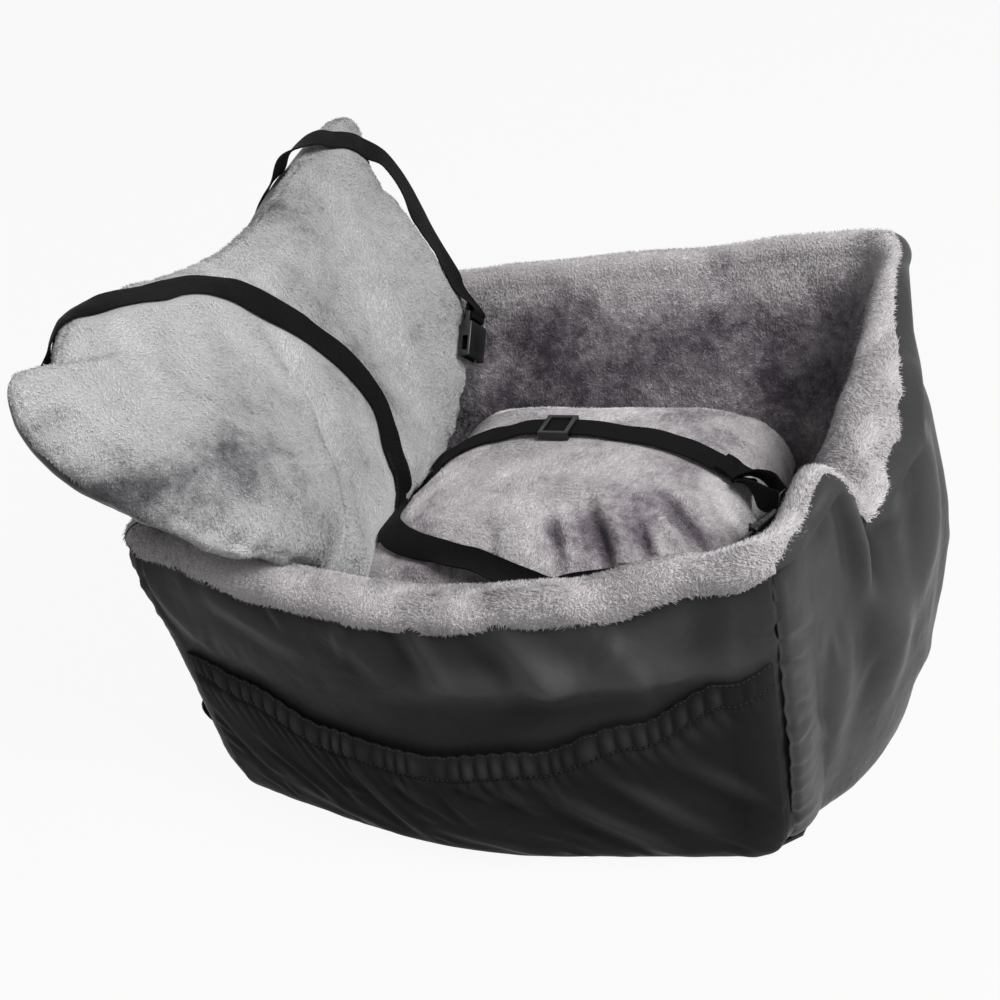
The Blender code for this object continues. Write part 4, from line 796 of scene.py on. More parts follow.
def makePocket(facts):
    place = np.linspace(0.088, 0.984, facts["columns"])
    q = (place - place[0]) / (place[-1] - place[0])
    length = wallLength("near")
    s = place * length
    mouth = tub["rimHeight"] * fromTable(tub["mouth"], q)
    ends = np.sqrt(np.clip(np.sin(np.pi * q), 0, 1))
    fadeEnds = eased(np.minimum(q / 0.08, (1 - q) / 0.14))
    warp = facts["gathers"] * (q + 0.010 * softNoise(q * 19, q * 0, 5))
    lobe = np.abs(np.cos(np.pi * warp)) ** 1.15
    tall = np.clip(0.80 + 0.40 * softNoise(q * 43, q * 0 + 3, 6), 0.35, 1.2) * fadeEnds
    foot = 0.0010 + 0.0040 * np.clip(softNoise(s * 14, s * 0 + 9, 61) + 0.35, 0, 1)
    band = facts["hem"]
    inBand = np.linspace(0, 1, facts["hemRows"])[:, None] * band * np.ones_like(q)
    inPanel = band + (mouth - foot - band) * np.linspace(0, 1, facts["rows"])[1:, None]
    below = np.concatenate([inBand, inPanel])[::-1]  # how far each row is below the mouth
    mouth = mouth[None]
    z = mouth - below + 0.0022 * (lobe * tall)[None] * np.clip(1 - below / 0.004, 0, 1)
    up = z / mouth
    inHem = np.clip(below / band, 0, 1)
    inside = below <= band
    bulge = np.where(inside, np.sin(np.pi * inHem) ** 0.55, 0)
    under = np.where(inside, 0, np.exp(-(below - band) / 0.013) * (1 - np.exp(-(below - band) / 0.002)))
    # the gathers below the hem lean to the right as they fade
    slant = facts["gathers"] * (
        q[None] + 0.010 * softNoise(q * 19, q * 0, 5)[None] - 0.45 * np.maximum(0, below - band) / length
    )
    hanging = np.abs(np.cos(np.pi * slant)) ** 1.15
    standing = bulge * lobe[None] * 0.85 + under * hanging * 0.8
    rise = facts["ruffle"] * tall[None] * standing + 0.0005 * bulge * fadeEnds[None]
    rise -= (0.0012 + 0.0006 * np.cos(2 * np.pi * s / 0.0046))[None] * np.exp(-(((below - band) / 0.0018) ** 2))
    folds = [(a * length, b, c * length, d, w, h) for a, b, c, d, w, h in facts["folds"]]
    folds += scatterFolds(
        91, count=34, size=(length, 0.11), angles=(-75, -25), reach=(0.015, 0.05), width=(0.0025, 0.005),
        height=(0.0005, 0.0013),
    )
    lower = eased((below - band) / 0.010)
    wide = s[None] + 0 * z
    rise += foldField(wide, z, folds) * lower
    rise += (0.0020 * softNoise(wide * 13, z * 12, 71) + 0.0007 * softNoise(wide * 50 + z * 40, z * 40, 72)) * lower
    # painted highlight where the gathers and folds stand out
    paintedLight = np.clip(110 * (rise - 0.0012), 0, 0.75)
    stand = facts["belly"] * 4 * up * (1 - up) * ends + facts["gap"] * ends * up**2
    edge = np.minimum(q, 1 - q)[None] * length
    rise -= 0.0012 * np.exp(-((edge / 0.004) ** 2))
    floorInset = footInset(z, np.minimum(place, 1 - place)[None] * length)
    rise = np.maximum(0.0030 + stand + rise, 0.0024) - floorInset
    flat = planPoint("near", (place[None] + 0 * z).ravel(), z.ravel()).reshape(z.shape + (3,))
    away = awayAt("near", place)[None]
    points = flat + away * rise[..., None]
    lip = points[-1:] + np.array([0, 0, 0.0010]) - away * 0.0012
    turned = points[-8:-7] - away * (0.0012 + (rise[-8:-7] - rise[-1:])[..., None])
    points = np.concatenate([points, lip, turned])
    made = gridPiece("gatheredPocket", points, pocketNylon)
    markPoints(made, np.concatenate([paintedLight, paintedLight[-1:], paintedLight[-1:]]), "paintedLight")
    thicken(made, facts["thick"])
    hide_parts("pocket_panel", "pocket_hem", "pocket_elastic")
    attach(made, "tub")
    return points


pocketPoints = makePocket(pocket)
print("pocket made")

# Plush linings of the tub, over the rim and down inside

lining = {
    "skin": 0.0042, "lump": 0.0012, "columns": {"near": 190, "front": 170, "far": 190, "rear": 110},
    "creases": {
        "far": (
            (0.300, 0.060, 0.330, 0.150, 0.006, -0.004), (0.270, 0.050, 0.290, 0.110, 0.005, -0.003),
            (0.200, 0.070, 0.215, 0.140, 0.006, 0.002),
        )
    },
}


def openOf(piece):
    found = np.zeros(len(piece.data.vertices), np.float32)
    if "openness" in piece.data.attributes:
        piece.data.attributes["openness"].data.foreach_get("value", found)
    return found.astype(float)


def makeLining(side, facts):
    place = wallPlaces(facts["columns"][side])
    crown = crownAt(side, place)
    edge = wavyStart(side, place)
    if (edge < 0).any():  # it starts down the outside
        onRoll = np.maximum(edge, 0)
        turns = [np.where(edge < 0, edge * (1 - share), edge) for share in np.linspace(0, 1, 5)[:-1]]
        turns += [onRoll + (math.pi - onRoll) * share for share in np.linspace(0, 1, 18)]
    else:
        turns = [edge + (math.pi - edge) * share for share in np.linspace(0, 1, 20)]
    lines = [rimPoint(side, place, turn) for turn in turns]
    for share in np.linspace(0, 1, 44)[1:]:
        lines.append(planPoint(side, place, crown + (tub["floor"] - crown) * share, True))
    base = np.array(lines)
    normals = gridNormals(base + 1e-7 * np.arange(len(lines))[:, None, None])
    seed = 130 + 5 * sideNames.index(side)
    s = place[None] * wallLength(side)
    deep = np.cumsum(np.linalg.norm(np.diff(base, axis=0, prepend=base[:1]), axis=2), axis=0)
    rise = facts["skin"] + facts["lump"] * (
        softNoise(s * 38, deep * 38, seed) + 0.7 * softNoise(s * 17 + 3, deep * 15, seed + 1)
    )
    tuck = np.exp(-(deep / 0.004))  # the sewn edge under the rim
    rise = rise * (1 - tuck) + 0.0022 * tuck
    if side in facts["creases"]:
        rise = rise + foldField(s * np.ones_like(deep), deep, facts["creases"][side])
    points = base + normals * rise[..., None]
    made = gridPiece("plushLining" + side.capitalize(), points, plush["tub"][0])
    # painted light: the pile paler over the rim, and painted shade deeper down inside the tub
    markPoints(made, np.clip(1.25 - deep / 0.055, -0.25, 1))
    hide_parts("liner_" + side)
    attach(made, "tub")
    return made


linings = {side: makeLining(side, lining) for side in sideNames}
print("linings made")

# The cushion and the backrest: closed crowned forms, swollen as cloth

pads = {
    "cushion": {
        "centre": (0.060, 0.002), "half": (0.163, 0.152), "crown": 0.084, "belly": 0.080, "seam": 0.188, "smooth": 6,
        "outline": (
            (-1.02, -0.96), (-0.30, -0.98), (0.45, -0.96), (0.86, -0.72), (0.985, -0.20), (0.985, 0.45), (0.88, 0.92),
            (0.35, 1.00), (-0.35, 0.98), (-0.93, 0.90), (-1.00, 0.35), (-1.10, -0.42),
        ),
        "voxel": 0.0055, "pressure": 3.0, "shrink": 0.0035, "cap": 0.007,
        "folds": (  # start, end, half width and height
            (0.125, -0.130, 0.086, -0.060, 0.0055, -0.0078), (0.196, -0.086, 0.138, -0.040, 0.0055, -0.0070),
            (0.152, -0.110, 0.131, -0.076, 0.0042, -0.0046),
            (0.080, -0.124, 0.052, -0.072, 0.0065, -0.0060), (0.141, -0.120, 0.114, -0.082, 0.0052, 0.0044),
            (0.178, -0.098, 0.140, -0.064, 0.0052, 0.0040),
            (0.020, -0.132, 0.010, -0.085, 0.0060, -0.0024), (0.206, -0.050, 0.165, -0.020, 0.0060, -0.0024),
            (0.100, 0.040, 0.030, 0.060, 0.020, -0.0020),
            (0.150, 0.090, 0.180, 0.130, 0.0070, -0.0022), (-0.050, 0.100, 0.010, 0.120, 0.010, -0.0018),
        ),
        "shade": ((0.082, -0.092, 0.030, 0.016, -0.60), (0.13, -0.085, 0.05, 0.04, -0.35)),
        "lumps": ((0.0020, 16), (0.0007, 60)), "seamWaves": (0.0016, 46, 0.016), "seamGroove": (0.0028, 0.004),
    },
    "backrest": {
        "foot": (-0.116, 0, 0.206), "lean": 24.5, "height": 0.315, "halfWidth": 0.300,
        "crown": 0.024, "belly": 0.066, "centreShare": 0.60, "smooth": 5,
        "curl": (0.050, 0.16, 0.62, 0.86, 0.50, 0.30),
        "outline": (
            (0.00, 0.000), (0.28, 0.000), (0.48, 0.030), (0.57, 0.160), (0.62, 0.320), (0.69, 0.450), (0.79, 0.600),
            (0.88, 0.750), (0.96, 0.880), (0.93, 1.000), (0.55, 0.985), (0.00, 0.930), (-0.48, 1.025), (-0.66, 1.030),
            (-0.78, 0.970), (-0.905, 0.985),
            (-0.985, 0.880), (-0.960, 0.620), (-0.87, 0.385), (-0.74, 0.250), (-0.665, 0.160), (-0.600, 0.050),
            (-0.48, -0.035), (-0.28, -0.045), (-0.12, -0.010),
        ),
        "voxel": 0.0055, "pressure": 3.0, "shrink": 0.0035, "cap": 0.008,
        "folds": (
            (-0.048, 0.235, -0.045, 0.130, 0.014, -0.0070), (-0.045, 0.145, -0.100, 0.075, 0.014, -0.0060),
            (-0.085, 0.092, -0.160, 0.040, 0.010, -0.0040),
            (-0.285, 0.222, -0.225, 0.200, 0.006, -0.0044), (-0.104, 0.176, -0.178, 0.104, 0.007, -0.0036),
            (0.040, 0.230, 0.060, 0.110, 0.014, -0.0030),
            (0.130, 0.220, 0.190, 0.120, 0.014, -0.0034), (-0.180, 0.240, -0.130, 0.180, 0.010, -0.0028),
            (0.220, 0.240, 0.260, 0.180, 0.009, -0.0030),
            (0.010, 0.080, 0.100, 0.050, 0.012, -0.0028),
        ),
        "dips": ((-0.244, 0.284), (-0.226, 0.253)), "dip": (0.0035, 0.009),
        "lumps": ((0.0032, 14), (0.0009, 45)), "seamWaves": (0.0014, 58, 0.010), "seamGroove": (0.0014, 0.0035),
        # it swells at its foot, against the seat: height, reach upwards, half width, fade
        "resting": (0.015, 0.050, 0.19, 0.07),
        "shade": (
            (-0.287, 0.202, 0.034, 0.026, -1.15), (-0.250, 0.180, 0.050, 0.028, -0.45),
            (-0.215, 0.150, 0.050, 0.030, -0.34), (-0.272, 0.268, 0.016, 0.012, -0.55),
            (-0.092, 0.160, 0.013, 0.062, -0.34), (0.245, 0.200, 0.020, 0.016, -0.30),
            (-0.050, 0.250, 0.100, 0.050, 0.16),
        ),
    },
}


# Points along a smooth curve from b to c, with a before them and d after them, for all rows at once.
def smoothThrough(a, b, c, d, steps):
    t = np.arange(steps)[:, None, None] / steps
    line = 0.5 * (2 * b + (c - a) * t + (2 * a - 5 * b + 4 * c - d) * t**2 + (3 * b - a - 3 * c + d) * t**3)
    return line.transpose(1, 0, 2).reshape(-1, a.shape[1])


def closedCurve(shares, steps):
    p = np.array(shares, float)
    a, b, c, d = np.roll(p, 1, 0), p, np.roll(p, -1, 0), np.roll(p, -2, 0)
    return smoothThrough(a, b, c, d, steps)


lean = math.radians(pads["backrest"]["lean"])
backUp, backAhead = np.array([-math.sin(lean), 0, math.cos(lean)]), np.array([math.cos(lean), 0, math.sin(lean)])


def curlAt(across, up):
    facts = pads["backrest"]
    curl, start, end, top, fade, foot = facts["curl"]
    edge = np.clip((np.abs(across) / facts["halfWidth"] - start) / (end - start), 0, 1)
    height = up / facts["height"]
    gone = np.clip((top - height) / fade, 0, 1) * np.minimum(1, height / foot)
    return curl * edge * edge * (3 - 2 * edge) * gone * gone * (3 - 2 * gone)


def backPlace(across, up, out):
    sideways = np.stack([0 * across, across, 0 * across], -1)
    ahead = backAhead * (out + curlAt(across, up))[..., None]
    return np.array(pads["backrest"]["foot"]) + sideways + backUp * up[..., None] + ahead


def cushionPlace(x, y, out):
    return np.stack([x, y, pads["cushion"]["seam"] + out], -1)


def padForm(name, outline, centre, crown, belly, place, shrink):
    rings = np.concatenate([np.linspace(0.03, 0.80, 12), [0.88, 0.94, 0.975, 0.992]])
    middle = np.array(centre)
    reach = outline - middle
    outline = middle + reach * (1 - shrink / np.linalg.norm(reach, axis=1, keepdims=True))
    grid = []
    above = [(share, crown - shrink) for share in rings]
    below = [(share, shrink - belly) for share in rings[::-1]]
    for share, height in above + [(1, 0)] + below:
        flat = middle + (outline - middle) * share
        out = height * (1 - share**3.4) ** 0.48 if share < 1 else 0.0
        grid.append(place(flat[:, 0], flat[:, 1], np.full(len(flat), out)))
    made = gridPiece(name, np.array(grid)[::-1], nylon, closedAround=True)
    only(made)
    bpy.ops.object.mode_set(mode="EDIT")
    bpy.ops.mesh.select_all(action="DESELECT")
    bpy.ops.mesh.select_non_manifold()
    bpy.ops.mesh.fill()
    bpy.ops.mesh.select_all(action="SELECT")
    bpy.ops.mesh.normals_make_consistent(inside=False)
    bpy.ops.object.mode_set(mode="OBJECT")
    return made


swelling = {"tension": 20, "compression": 8, "frames": 20}


# Remeshes a closed form, swells it as cloth and limits how far a point may move.
def swell(piece, facts):
    only(piece)
    remesh = piece.modifiers.new("evenFaces", "REMESH")
    remesh.mode = "VOXEL"
    remesh.voxel_size = facts["voxel"]
    bpy.ops.object.modifier_apply(modifier=remesh.name)
    start = coordsOf(piece)
    cloth = piece.modifiers.new("swelling", "CLOTH")
    cloth.settings.use_pressure = True
    cloth.settings.uniform_pressure_force = facts["pressure"]
    cloth.settings.effector_weights.gravity = 0
    cloth.settings.tension_stiffness = swelling["tension"]
    cloth.settings.compression_stiffness = swelling["compression"]
    cloth.point_cache.frame_start, cloth.point_cache.frame_end = 1, swelling["frames"]
    for step in range(1, swelling["frames"] + 1):
        bpy.context.scene.frame_set(step)
    bpy.ops.object.modifier_apply(modifier=cloth.name)
    bpy.context.scene.frame_set(1)
    moved = coordsOf(piece) - start
    far = np.linalg.norm(moved, axis=1, keepdims=True)
    piece.data.vertices.foreach_set(
        "co", (start + moved * np.minimum(1, facts["cap"] / np.maximum(far, 1e-9))).ravel(),
    )
    print(piece.name, "swelled, mean", round(float(far.mean()), 4))
    finer = piece.modifiers.new("finer", "SUBSURF")
    finer.levels = finer.render_levels = 1
    bpy.ops.object.modifier_apply(modifier=finer.name)
    piece.data.shade_smooth()


# Paints a pad's two sides, by which side of its seam a face lies on.
def twoSided(piece, inFront, frontLook, backLook):
    piece.data.materials.clear()
    piece.data.materials.append(frontLook)
    piece.data.materials.append(backLook)
    centres = np.empty(len(piece.data.polygons) * 3)
    piece.data.polygons.foreach_get("center", centres)
    piece.data.polygons.foreach_set("material_index", np.where(inFront(centres.reshape(-1, 3)), 0, 1).astype(np.int32))
    piece.data.update()


def makeCushion(facts):
    shares = closedCurve(facts["outline"], facts["smooth"])
    outline = np.array(facts["centre"]) + shares * np.array(facts["half"])
    made = padForm(
        "seatCushion", outline, facts["centre"], facts["crown"], facts["belly"], cushionPlace, facts["shrink"],
    )
    swell(made, facts)
    at, out = coordsOf(made), normalsOf(made)
    top = eased((at[:, 2] - facts["seam"]) / 0.02)
    rise = foldField(at[:, 0], at[:, 1], facts["folds"]) * top
    # painted shade in the folds' hollows and at the shade places
    markPoints(made, np.clip(rise * 110, -0.8, 0.1) + spotField(at[:, 0], at[:, 1], facts["shade"]))
    (large, few), (small, many) = facts["lumps"]
    finer = softNoise(at[:, 0] * many, at[:, 1] * many, 302)
    rise += large * softNoise(at[:, 0] * few, at[:, 1] * few, 301) * top + small * finer * top
    turn = np.arctan2(at[:, 1] - facts["centre"][1], at[:, 0] - facts["centre"][0])
    seam = np.abs(at[:, 2] - facts["seam"])
    height, waves, reach = facts["seamWaves"]
    rise += height * np.cos(turn * waves + 2 * softNoise(turn * 3 + 5, turn * 0, 303)) * np.exp(-seam / reach)
    height, reach = facts["seamGroove"]
    rise -= height * np.exp(-((seam / reach) ** 2))
    made.data.vertices.foreach_set("co", (at + out * rise[:, None]).ravel())
    twoSided(made, lambda p: p[:, 2] > facts["seam"] + 0.001, plush["cushion"][0], nylon)
    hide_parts("cushion_top_cover", "cushion_bottom_cover", "cushion_filling")
    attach(made, "seat_cushion")
    return made


def makeBackrest(facts):
    shares = closedCurve(facts["outline"], facts["smooth"])
    outline = shares * np.array([facts["halfWidth"], facts["height"]])
    centre = (0, facts["height"] * facts["centreShare"])
    made = padForm("backrestPad", outline, centre, facts["crown"], facts["belly"], backPlace, facts["shrink"])
    swell(made, facts)
    at, out = coordsOf(made), normalsOf(made)
    local = at - np.array(facts["foot"])
    across, up = local[:, 1], local @ backUp
    front = local @ backAhead - curlAt(across, up)
    side = eased(front / 0.012)
    rise = foldField(across, up, facts["folds"]) * side
    depth, reach = facts["dip"]
    for dip in facts["dips"]:
        rise -= depth * np.exp(-((across - dip[0]) ** 2 + (up - dip[1]) ** 2) / reach**2) * side
    (large, few), (small, many) = facts["lumps"]
    finer = softNoise(across * many, up * many, 312)
    rise += large * softNoise(across * few, up * few, 311) * side + small * finer * side
    seam = np.abs(front)
    turn = np.arctan2(up - centre[1], across * 0.7)
    height, waves, reach = facts["seamWaves"]
    rise += height * np.cos(turn * waves + 2 * softNoise(turn * 3 + 5, turn * 0, 313)) * np.exp(-seam / reach)
    rise += (1 - side) * (0.0030 * softNoise(across * 12, up * 10, 314) + 0.0010 * softNoise(across * 50, up * 40, 315))
    height, reach = facts["seamGroove"]
    rise -= height * np.exp(-((seam / reach) ** 2))
    height, reach, half, fade = facts["resting"]
    rise += height * np.exp(-((up / reach) ** 2)) * eased((half - np.abs(across)) / fade) * side
    made.data.vertices.foreach_set("co", (at + out * rise[:, None]).ravel())

    def inFront(p):
        off = p - np.array(facts["foot"])
        low = np.clip((0.15 - off @ backUp) / 0.05, 0, 1) * (off[:, 1] < 0)
        return off @ backAhead - curlAt(off[:, 1], off @ backUp) > -0.011 - 0.035 * low

    twoSided(made, inFront, plush["backrest"][0], nylon)
    markPoints(made, spotField(across, up, facts["shade"]))
    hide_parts("backrest_front_cover", "backrest_back_cover", "backrest_filling")
    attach(made, "backrest")
    return made


cushionPiece = makeCushion(pads["cushion"])
backrestPiece = makeBackrest(pads["backrest"])
print("cushion and backrest made")

# Straps: the left, middle and right of each one's underside in tenths of a millimetre, then its facing in hundredths

straps = {
    "width": 0.025, "thickness": 0.0016, "steps": 6,
    # its section, thinner at both edges
    "across": (0, 0.018, 0.10, 0.30, 0.50, 0.70, 0.90, 0.982, 1), "full": (0.35, 0.9, 1, 1, 1, 1, 1, 0.9, 0.35),
    "rest": {"nearStrap": 0.0012, "farStrap": 0.0010, "strapTail": 0.0038},  # how far off the pad it lies
    # how far it looks for the pad at its start and further on, and from which point
    "reach": {"nearStrap": (0.030, 0.010, 30), "farStrap": (0.028, 0.008, 26), "strapTail": (0.016, 0.016, 0)},
    # how the near strap moves up and nearwards, by row, in tenths of a millimetre
    "raised": ((3, 6, 10, 14), (0, 110, 110, 0)), "slip": ((13, 19, 24, 26), (0, 90, 90, 40)),
    # how far the tail sinks, by how far ahead it is
    "sag": ((-0.10, -0.05, 0.008, 0.040, 0.073, 0.096, 0.125), (0.006, 0.008, 0.009, 0.015, 0.021, 0.018, 0.012)),
    "nearStrap": (
        (-2559, -2225, 3981, -2562, -2100, 3983, -2584, -1975, 3976, -91, 0, -41),
        (-2663, -2229, 4102, -2667, -2104, 4100, -2685, -1979, 4091, -90, 0, -44),
        (-2769, -2225, 4245, -2774, -2100, 4232, -2784, -1975, 4217, -91, 0, -41),
        (-2814, -2199, 4456, -2830, -2076, 4431, -2828, -1952, 4411, -97, 0, -25),
        (-2715, -2162, 4672, -2723, -2040, 4643, -2729, -1918, 4614, -100, 0, 1),
        (-2578, -2117, 4811, -2593, -2001, 4767, -2632, -1884, 4732, -94, 0, 33),
        (-2452, -2048, 4884, -2502, -1950, 4826, -2571, -1852, 4783, -76, 0, 65),
        (-2336, -1950, 4885, -2437, -1884, 4848, -2535, -1818, 4806, -45, 0, 89),
        (-2272, -1844, 4843, -2391, -1800, 4859, -2505, -1756, 4827, -8, 0, 100),
        (-2237, -1730, 4801, -2350, -1693, 4840, -2471, -1656, 4850, 29, 0, 96),
        (-2203, -1596, 4761, -2306, -1560, 4822, -2412, -1524, 4879, 58, 0, 81),
        (-2167, -1430, 4710, -2263, -1393, 4786, -2340, -1357, 4877, 77, 0, 64),
        (-2131, -1228, 4652, -2213, -1200, 4745, -2273, -1172, 4851, 87, 0, 49),
        (-2102, -1006, 4619, -2177, -977, 4718, -2229, -948, 4828, 90, 0, 43),
        (-2066, -809, 4572, -2135, -750, 4662, -2181, -691, 4762, 91, 0, 41),
        (-1993, -633, 4449, -2046, -548, 4526, -2091, -462, 4606, 91, 0, 41),
        (-1901, -454, 4280, -1940, -360, 4353, -1983, -266, 4424, 91, 0, 41),
        (-1815, -285, 4095, -1846, -185, 4163, -1879, -85, 4230, 91, 0, 41),
        (-1724, -137, 3896, -1751, -30, 3954, -1777, 77, 4012, 91, 0, 41),
        (-1626, -15, 3682, -1647, 99, 3728, -1669, 214, 3774, 91, 0, 41),
        (-1528, 75, 3462, -1542, 195, 3495, -1556, 315, 3529, 91, 0, 41),
        (-1434, 129, 3251, -1440, 253, 3265, -1444, 377, 3280, 91, 0, 41),
        (-1358, 133, 3071, -1347, 255, 3048, -1335, 377, 3025, 91, 0, 41),
        (-1296, 53, 2918, -1273, 160, 2859, -1251, 268, 2799, 91, 0, 41),
        (-1240, -69, 2765, -1213, 30, 2694, -1188, 129, 2621, 91, 0, 41),
        (-1193, -178, 2636, -1168, -82, 2559, -1149, 13, 2480, 91, 0, 41),
        (-1158, -289, 2515, -1140, -195, 2433, -1112, -101, 2354, 91, 0, 41),
    ),
    "farStrap": (
        (-2709, 1137, 3940, -2684, 1260, 3927, -2668, 1383, 3911, -91, 0, -41),
        (-2782, 1163, 4070, -2766, 1286, 4052, -2742, 1409, 4037, -90, 0, -44),
        (-2815, 1198, 4245, -2821, 1320, 4211, -2809, 1442, 4184, -91, 0, -41),
        (-2813, 1253, 4473, -2811, 1372, 4435, -2819, 1492, 4394, -97, 0, -25),
        (-2737, 1326, 4695, -2738, 1440, 4643, -2763, 1554, 4592, -100, 0, 1),
        (-2609, 1423, 4855, -2633, 1524, 4786, -2680, 1626, 4726, -94, 0, 33),
        (-2465, 1537, 4926, -2526, 1620, 4855, -2606, 1703, 4800, -76, 0, 65),
        (-2355, 1660, 4929, -2463, 1721, 4902, -2556, 1782, 4845, -45, 0, 89),
        (-2292, 1777, 4908, -2407, 1830, 4924, -2518, 1883, 4892, -8, 0, 100),
        (-2243, 1893, 4870, -2343, 1948, 4927, -2457, 2003, 4935, 29, 0, 96),
        (-2202, 2006, 4806, -2275, 2070, 4889, -2371, 2134, 4940, 58, 0, 81),
        (-2166, 2121, 4737, -2228, 2195, 4816, -2297, 2269, 4890, 77, 0, 64),
        (-2107, 2221, 4668, -2165, 2310, 4736, -2215, 2399, 4808, 87, 0, 49),
        (-2036, 2306, 4585, -2084, 2412, 4635, -2115, 2518, 4693, 90, 0, 43),
        (-1964, 2352, 4510, -1991, 2475, 4520, -2004, 2598, 4536, 91, 0, 41),
        (-1884, 2340, 4425, -1890, 2462, 4393, -1884, 2584, 4365, 91, 0, 41),
        (-1784, 2286, 4307, -1779, 2400, 4253, -1764, 2514, 4203, 91, 0, 41),
        (-1666, 2186, 4157, -1656, 2295, 4094, -1637, 2404, 4034, 91, 0, 41),
        (-1541, 2067, 3998, -1530, 2175, 3934, -1512, 2283, 3873, 91, 0, 41),
        (-1422, 1966, 3853, -1411, 2075, 3790, -1393, 2184, 3731, 91, 0, 41),
        (-1301, 1873, 3728, -1289, 1980, 3663, -1271, 2087, 3601, 91, 0, 41),
        (-1199, 1784, 3617, -1189, 1889, 3548, -1166, 1995, 3485, 91, 0, 41),
        (-1128, 1695, 3499, -1115, 1800, 3430, -1095, 1905, 3365, 91, 0, 41),
        (-918, 1628, 3319, -914, 1722, 3236, -910, 1815, 3153, 100, -1, 4),
        (-917, 1582, 3268, -913, 1676, 3185, -908, 1769, 3102, 100, -1, 4),
        (-917, 1567, 3250, -912, 1660, 3167, -908, 1753, 3084, 44, -61, -66),
        (-968, 1567, 3248, -964, 1661, 3165, -960, 1754, 3082, -41, -60, -69),
        (-969, 1583, 3266, -965, 1677, 3183, -960, 1770, 3100, -100, 1, -4),
        (-970, 1629, 3317, -966, 1722, 3235, -962, 1816, 3152, -100, 1, -4),
        (-961, 1659, 3351, -956, 1752, 3269, -952, 1846, 3186, -100, 1, -4),
    ),
    "strapTail": (
        (-1023, -454, 2415, -900, -436, 2415, -776, -418, 2440, 0, 0, 100),
        (-1009, -555, 2433, -885, -535, 2433, -762, -514, 2458, 0, 0, 100),
        (-989, -661, 2451, -867, -634, 2451, -745, -606, 2476, 0, 0, 100),
        (-959, -773, 2469, -841, -734, 2469, -722, -695, 2494, 0, 0, 100),
        (-913, -888, 2487, -802, -831, 2487, -691, -774, 2512, 0, 0, 100),
        (-843, -998, 2506, -745, -921, 2506, -646, -845, 2531, 0, 0, 100),
        (-749, -1096, 2525, -671, -998, 2525, -594, -901, 2550, 0, 0, 100),
        (-635, -1164, 2546, -582, -1051, 2546, -529, -938, 2571, 0, 0, 100),
        (-511, -1209, 2560, -476, -1090, 2560, -440, -970, 2585, 0, 0, 100),
        (-376, -1242, 2573, -352, -1120, 2573, -327, -997, 2598, 0, 0, 100),
        (-235, -1266, 2573, -215, -1143, 2573, -195, -1019, 2598, 0, 0, 100),
        (-88, -1288, 2565, -72, -1164, 2565, -56, -1040, 2590, 0, 0, 100),
        (66, -1305, 2564, 78, -1181, 2564, 91, -1056, 2589, 0, 0, 100),
        (231, -1319, 2564, 239, -1194, 2564, 248, -1069, 2589, 0, 0, 100),
        (399, -1328, 2564, 404, -1204, 2564, 410, -1079, 2589, 0, 0, 100),
        (571, -1335, 2565, 574, -1210, 2565, 576, -1085, 2590, 0, 0, 100),
        (733, -1336, 2566, 730, -1211, 2566, 728, -1086, 2591, 0, 0, 100),
        (859, -1330, 2570, 851, -1205, 2570, 842, -1080, 2595, 0, 0, 100),
        (969, -1321, 2571, 959, -1196, 2571, 948, -1071, 2596, 0, 0, 100),
        (1247, -1318, 2455, 1233, -1224, 2536, 1220, -1130, 2618, 25, -61, 75),
        (1313, -1302, 2447, 1300, -1208, 2528, 1287, -1113, 2609, 25, -61, 75),
        (1336, -1296, 2444, 1323, -1202, 2525, 1310, -1108, 2606, 98, -4, 21),
        (1323, -1264, 2405, 1310, -1170, 2486, 1297, -1076, 2567, 77, 48, -43),
        (1300, -1270, 2408, 1287, -1176, 2489, 1274, -1082, 2570, -25, 61, -75),
        (1234, -1286, 2416, 1221, -1192, 2497, 1207, -1098, 2579, -25, 61, -75),
        (1193, -1304, 2429, 1180, -1209, 2511, 1167, -1115, 2592, -25, 61, -75),
    ),
    "tether": (
        (-890, 107, 2348, -948, 218, 2323, -1007, 328, 2323, 0, 0, 100),
        (-803, 153, 2445, -856, 267, 2420, -909, 380, 2420, 0, 0, 100),
        (-719, 188, 2501, -753, 309, 2476, -787, 429, 2476, 0, 0, 100),
        (-601, 209, 2573, -618, 333, 2566, -635, 457, 2554, 0, 0, 100),
        (-467, 222, 2619, -476, 347, 2619, -485, 471, 2618, 0, 0, 100),
        (-341, 228, 2665, -344, 352, 2664, -348, 477, 2662, 0, 0, 100),
        (-213, 229, 2686, -215, 354, 2687, -217, 479, 2686, 0, 0, 100),
        (30, 238, 2753, 30, 363, 2749, 30, 488, 2746, -2, 3, 100),
        (550, 238, 2761, 550, 363, 2758, 550, 488, 2754, -2, 3, 100),
        (846, 223, 2728, 861, 347, 2725, 875, 471, 2719, 0, 0, 100),
        (957, 210, 2724, 974, 333, 2723, 990, 457, 2719, 0, 0, 100),
        (1066, 194, 2719, 1089, 316, 2719, 1112, 439, 2718, 0, 0, 100),
        (1180, 167, 2717, 1210, 288, 2714, 1240, 410, 2709, 0, 0, 100),
        (1301, 135, 2703, 1333, 256, 2695, 1366, 376, 2689, 0, 0, 100),
        (1425, 101, 2685, 1459, 221, 2682, 1492, 341, 2674, 0, 0, 100),
        (1544, 67, 2663, 1578, 187, 2654, 1612, 308, 2639, 0, 0, 100),
        (1650, 38, 2624, 1682, 158, 2612, 1715, 279, 2601, 0, 0, 100),
        (1744, 13, 2594, 1774, 134, 2584, 1804, 255, 2569, 0, 0, 100),
        (1821, -5, 2558, 1847, 117, 2540, 1874, 240, 2533, 0, 0, 100),
        (1888, -19, 2502, 1914, 104, 2486, 1939, 226, 2477, 0, 0, 100),
    ),
    "tetherLoop": (
        (1744, 13, 2632, 1774, 134, 2622, 1804, 255, 2607, 0, 0, 100),
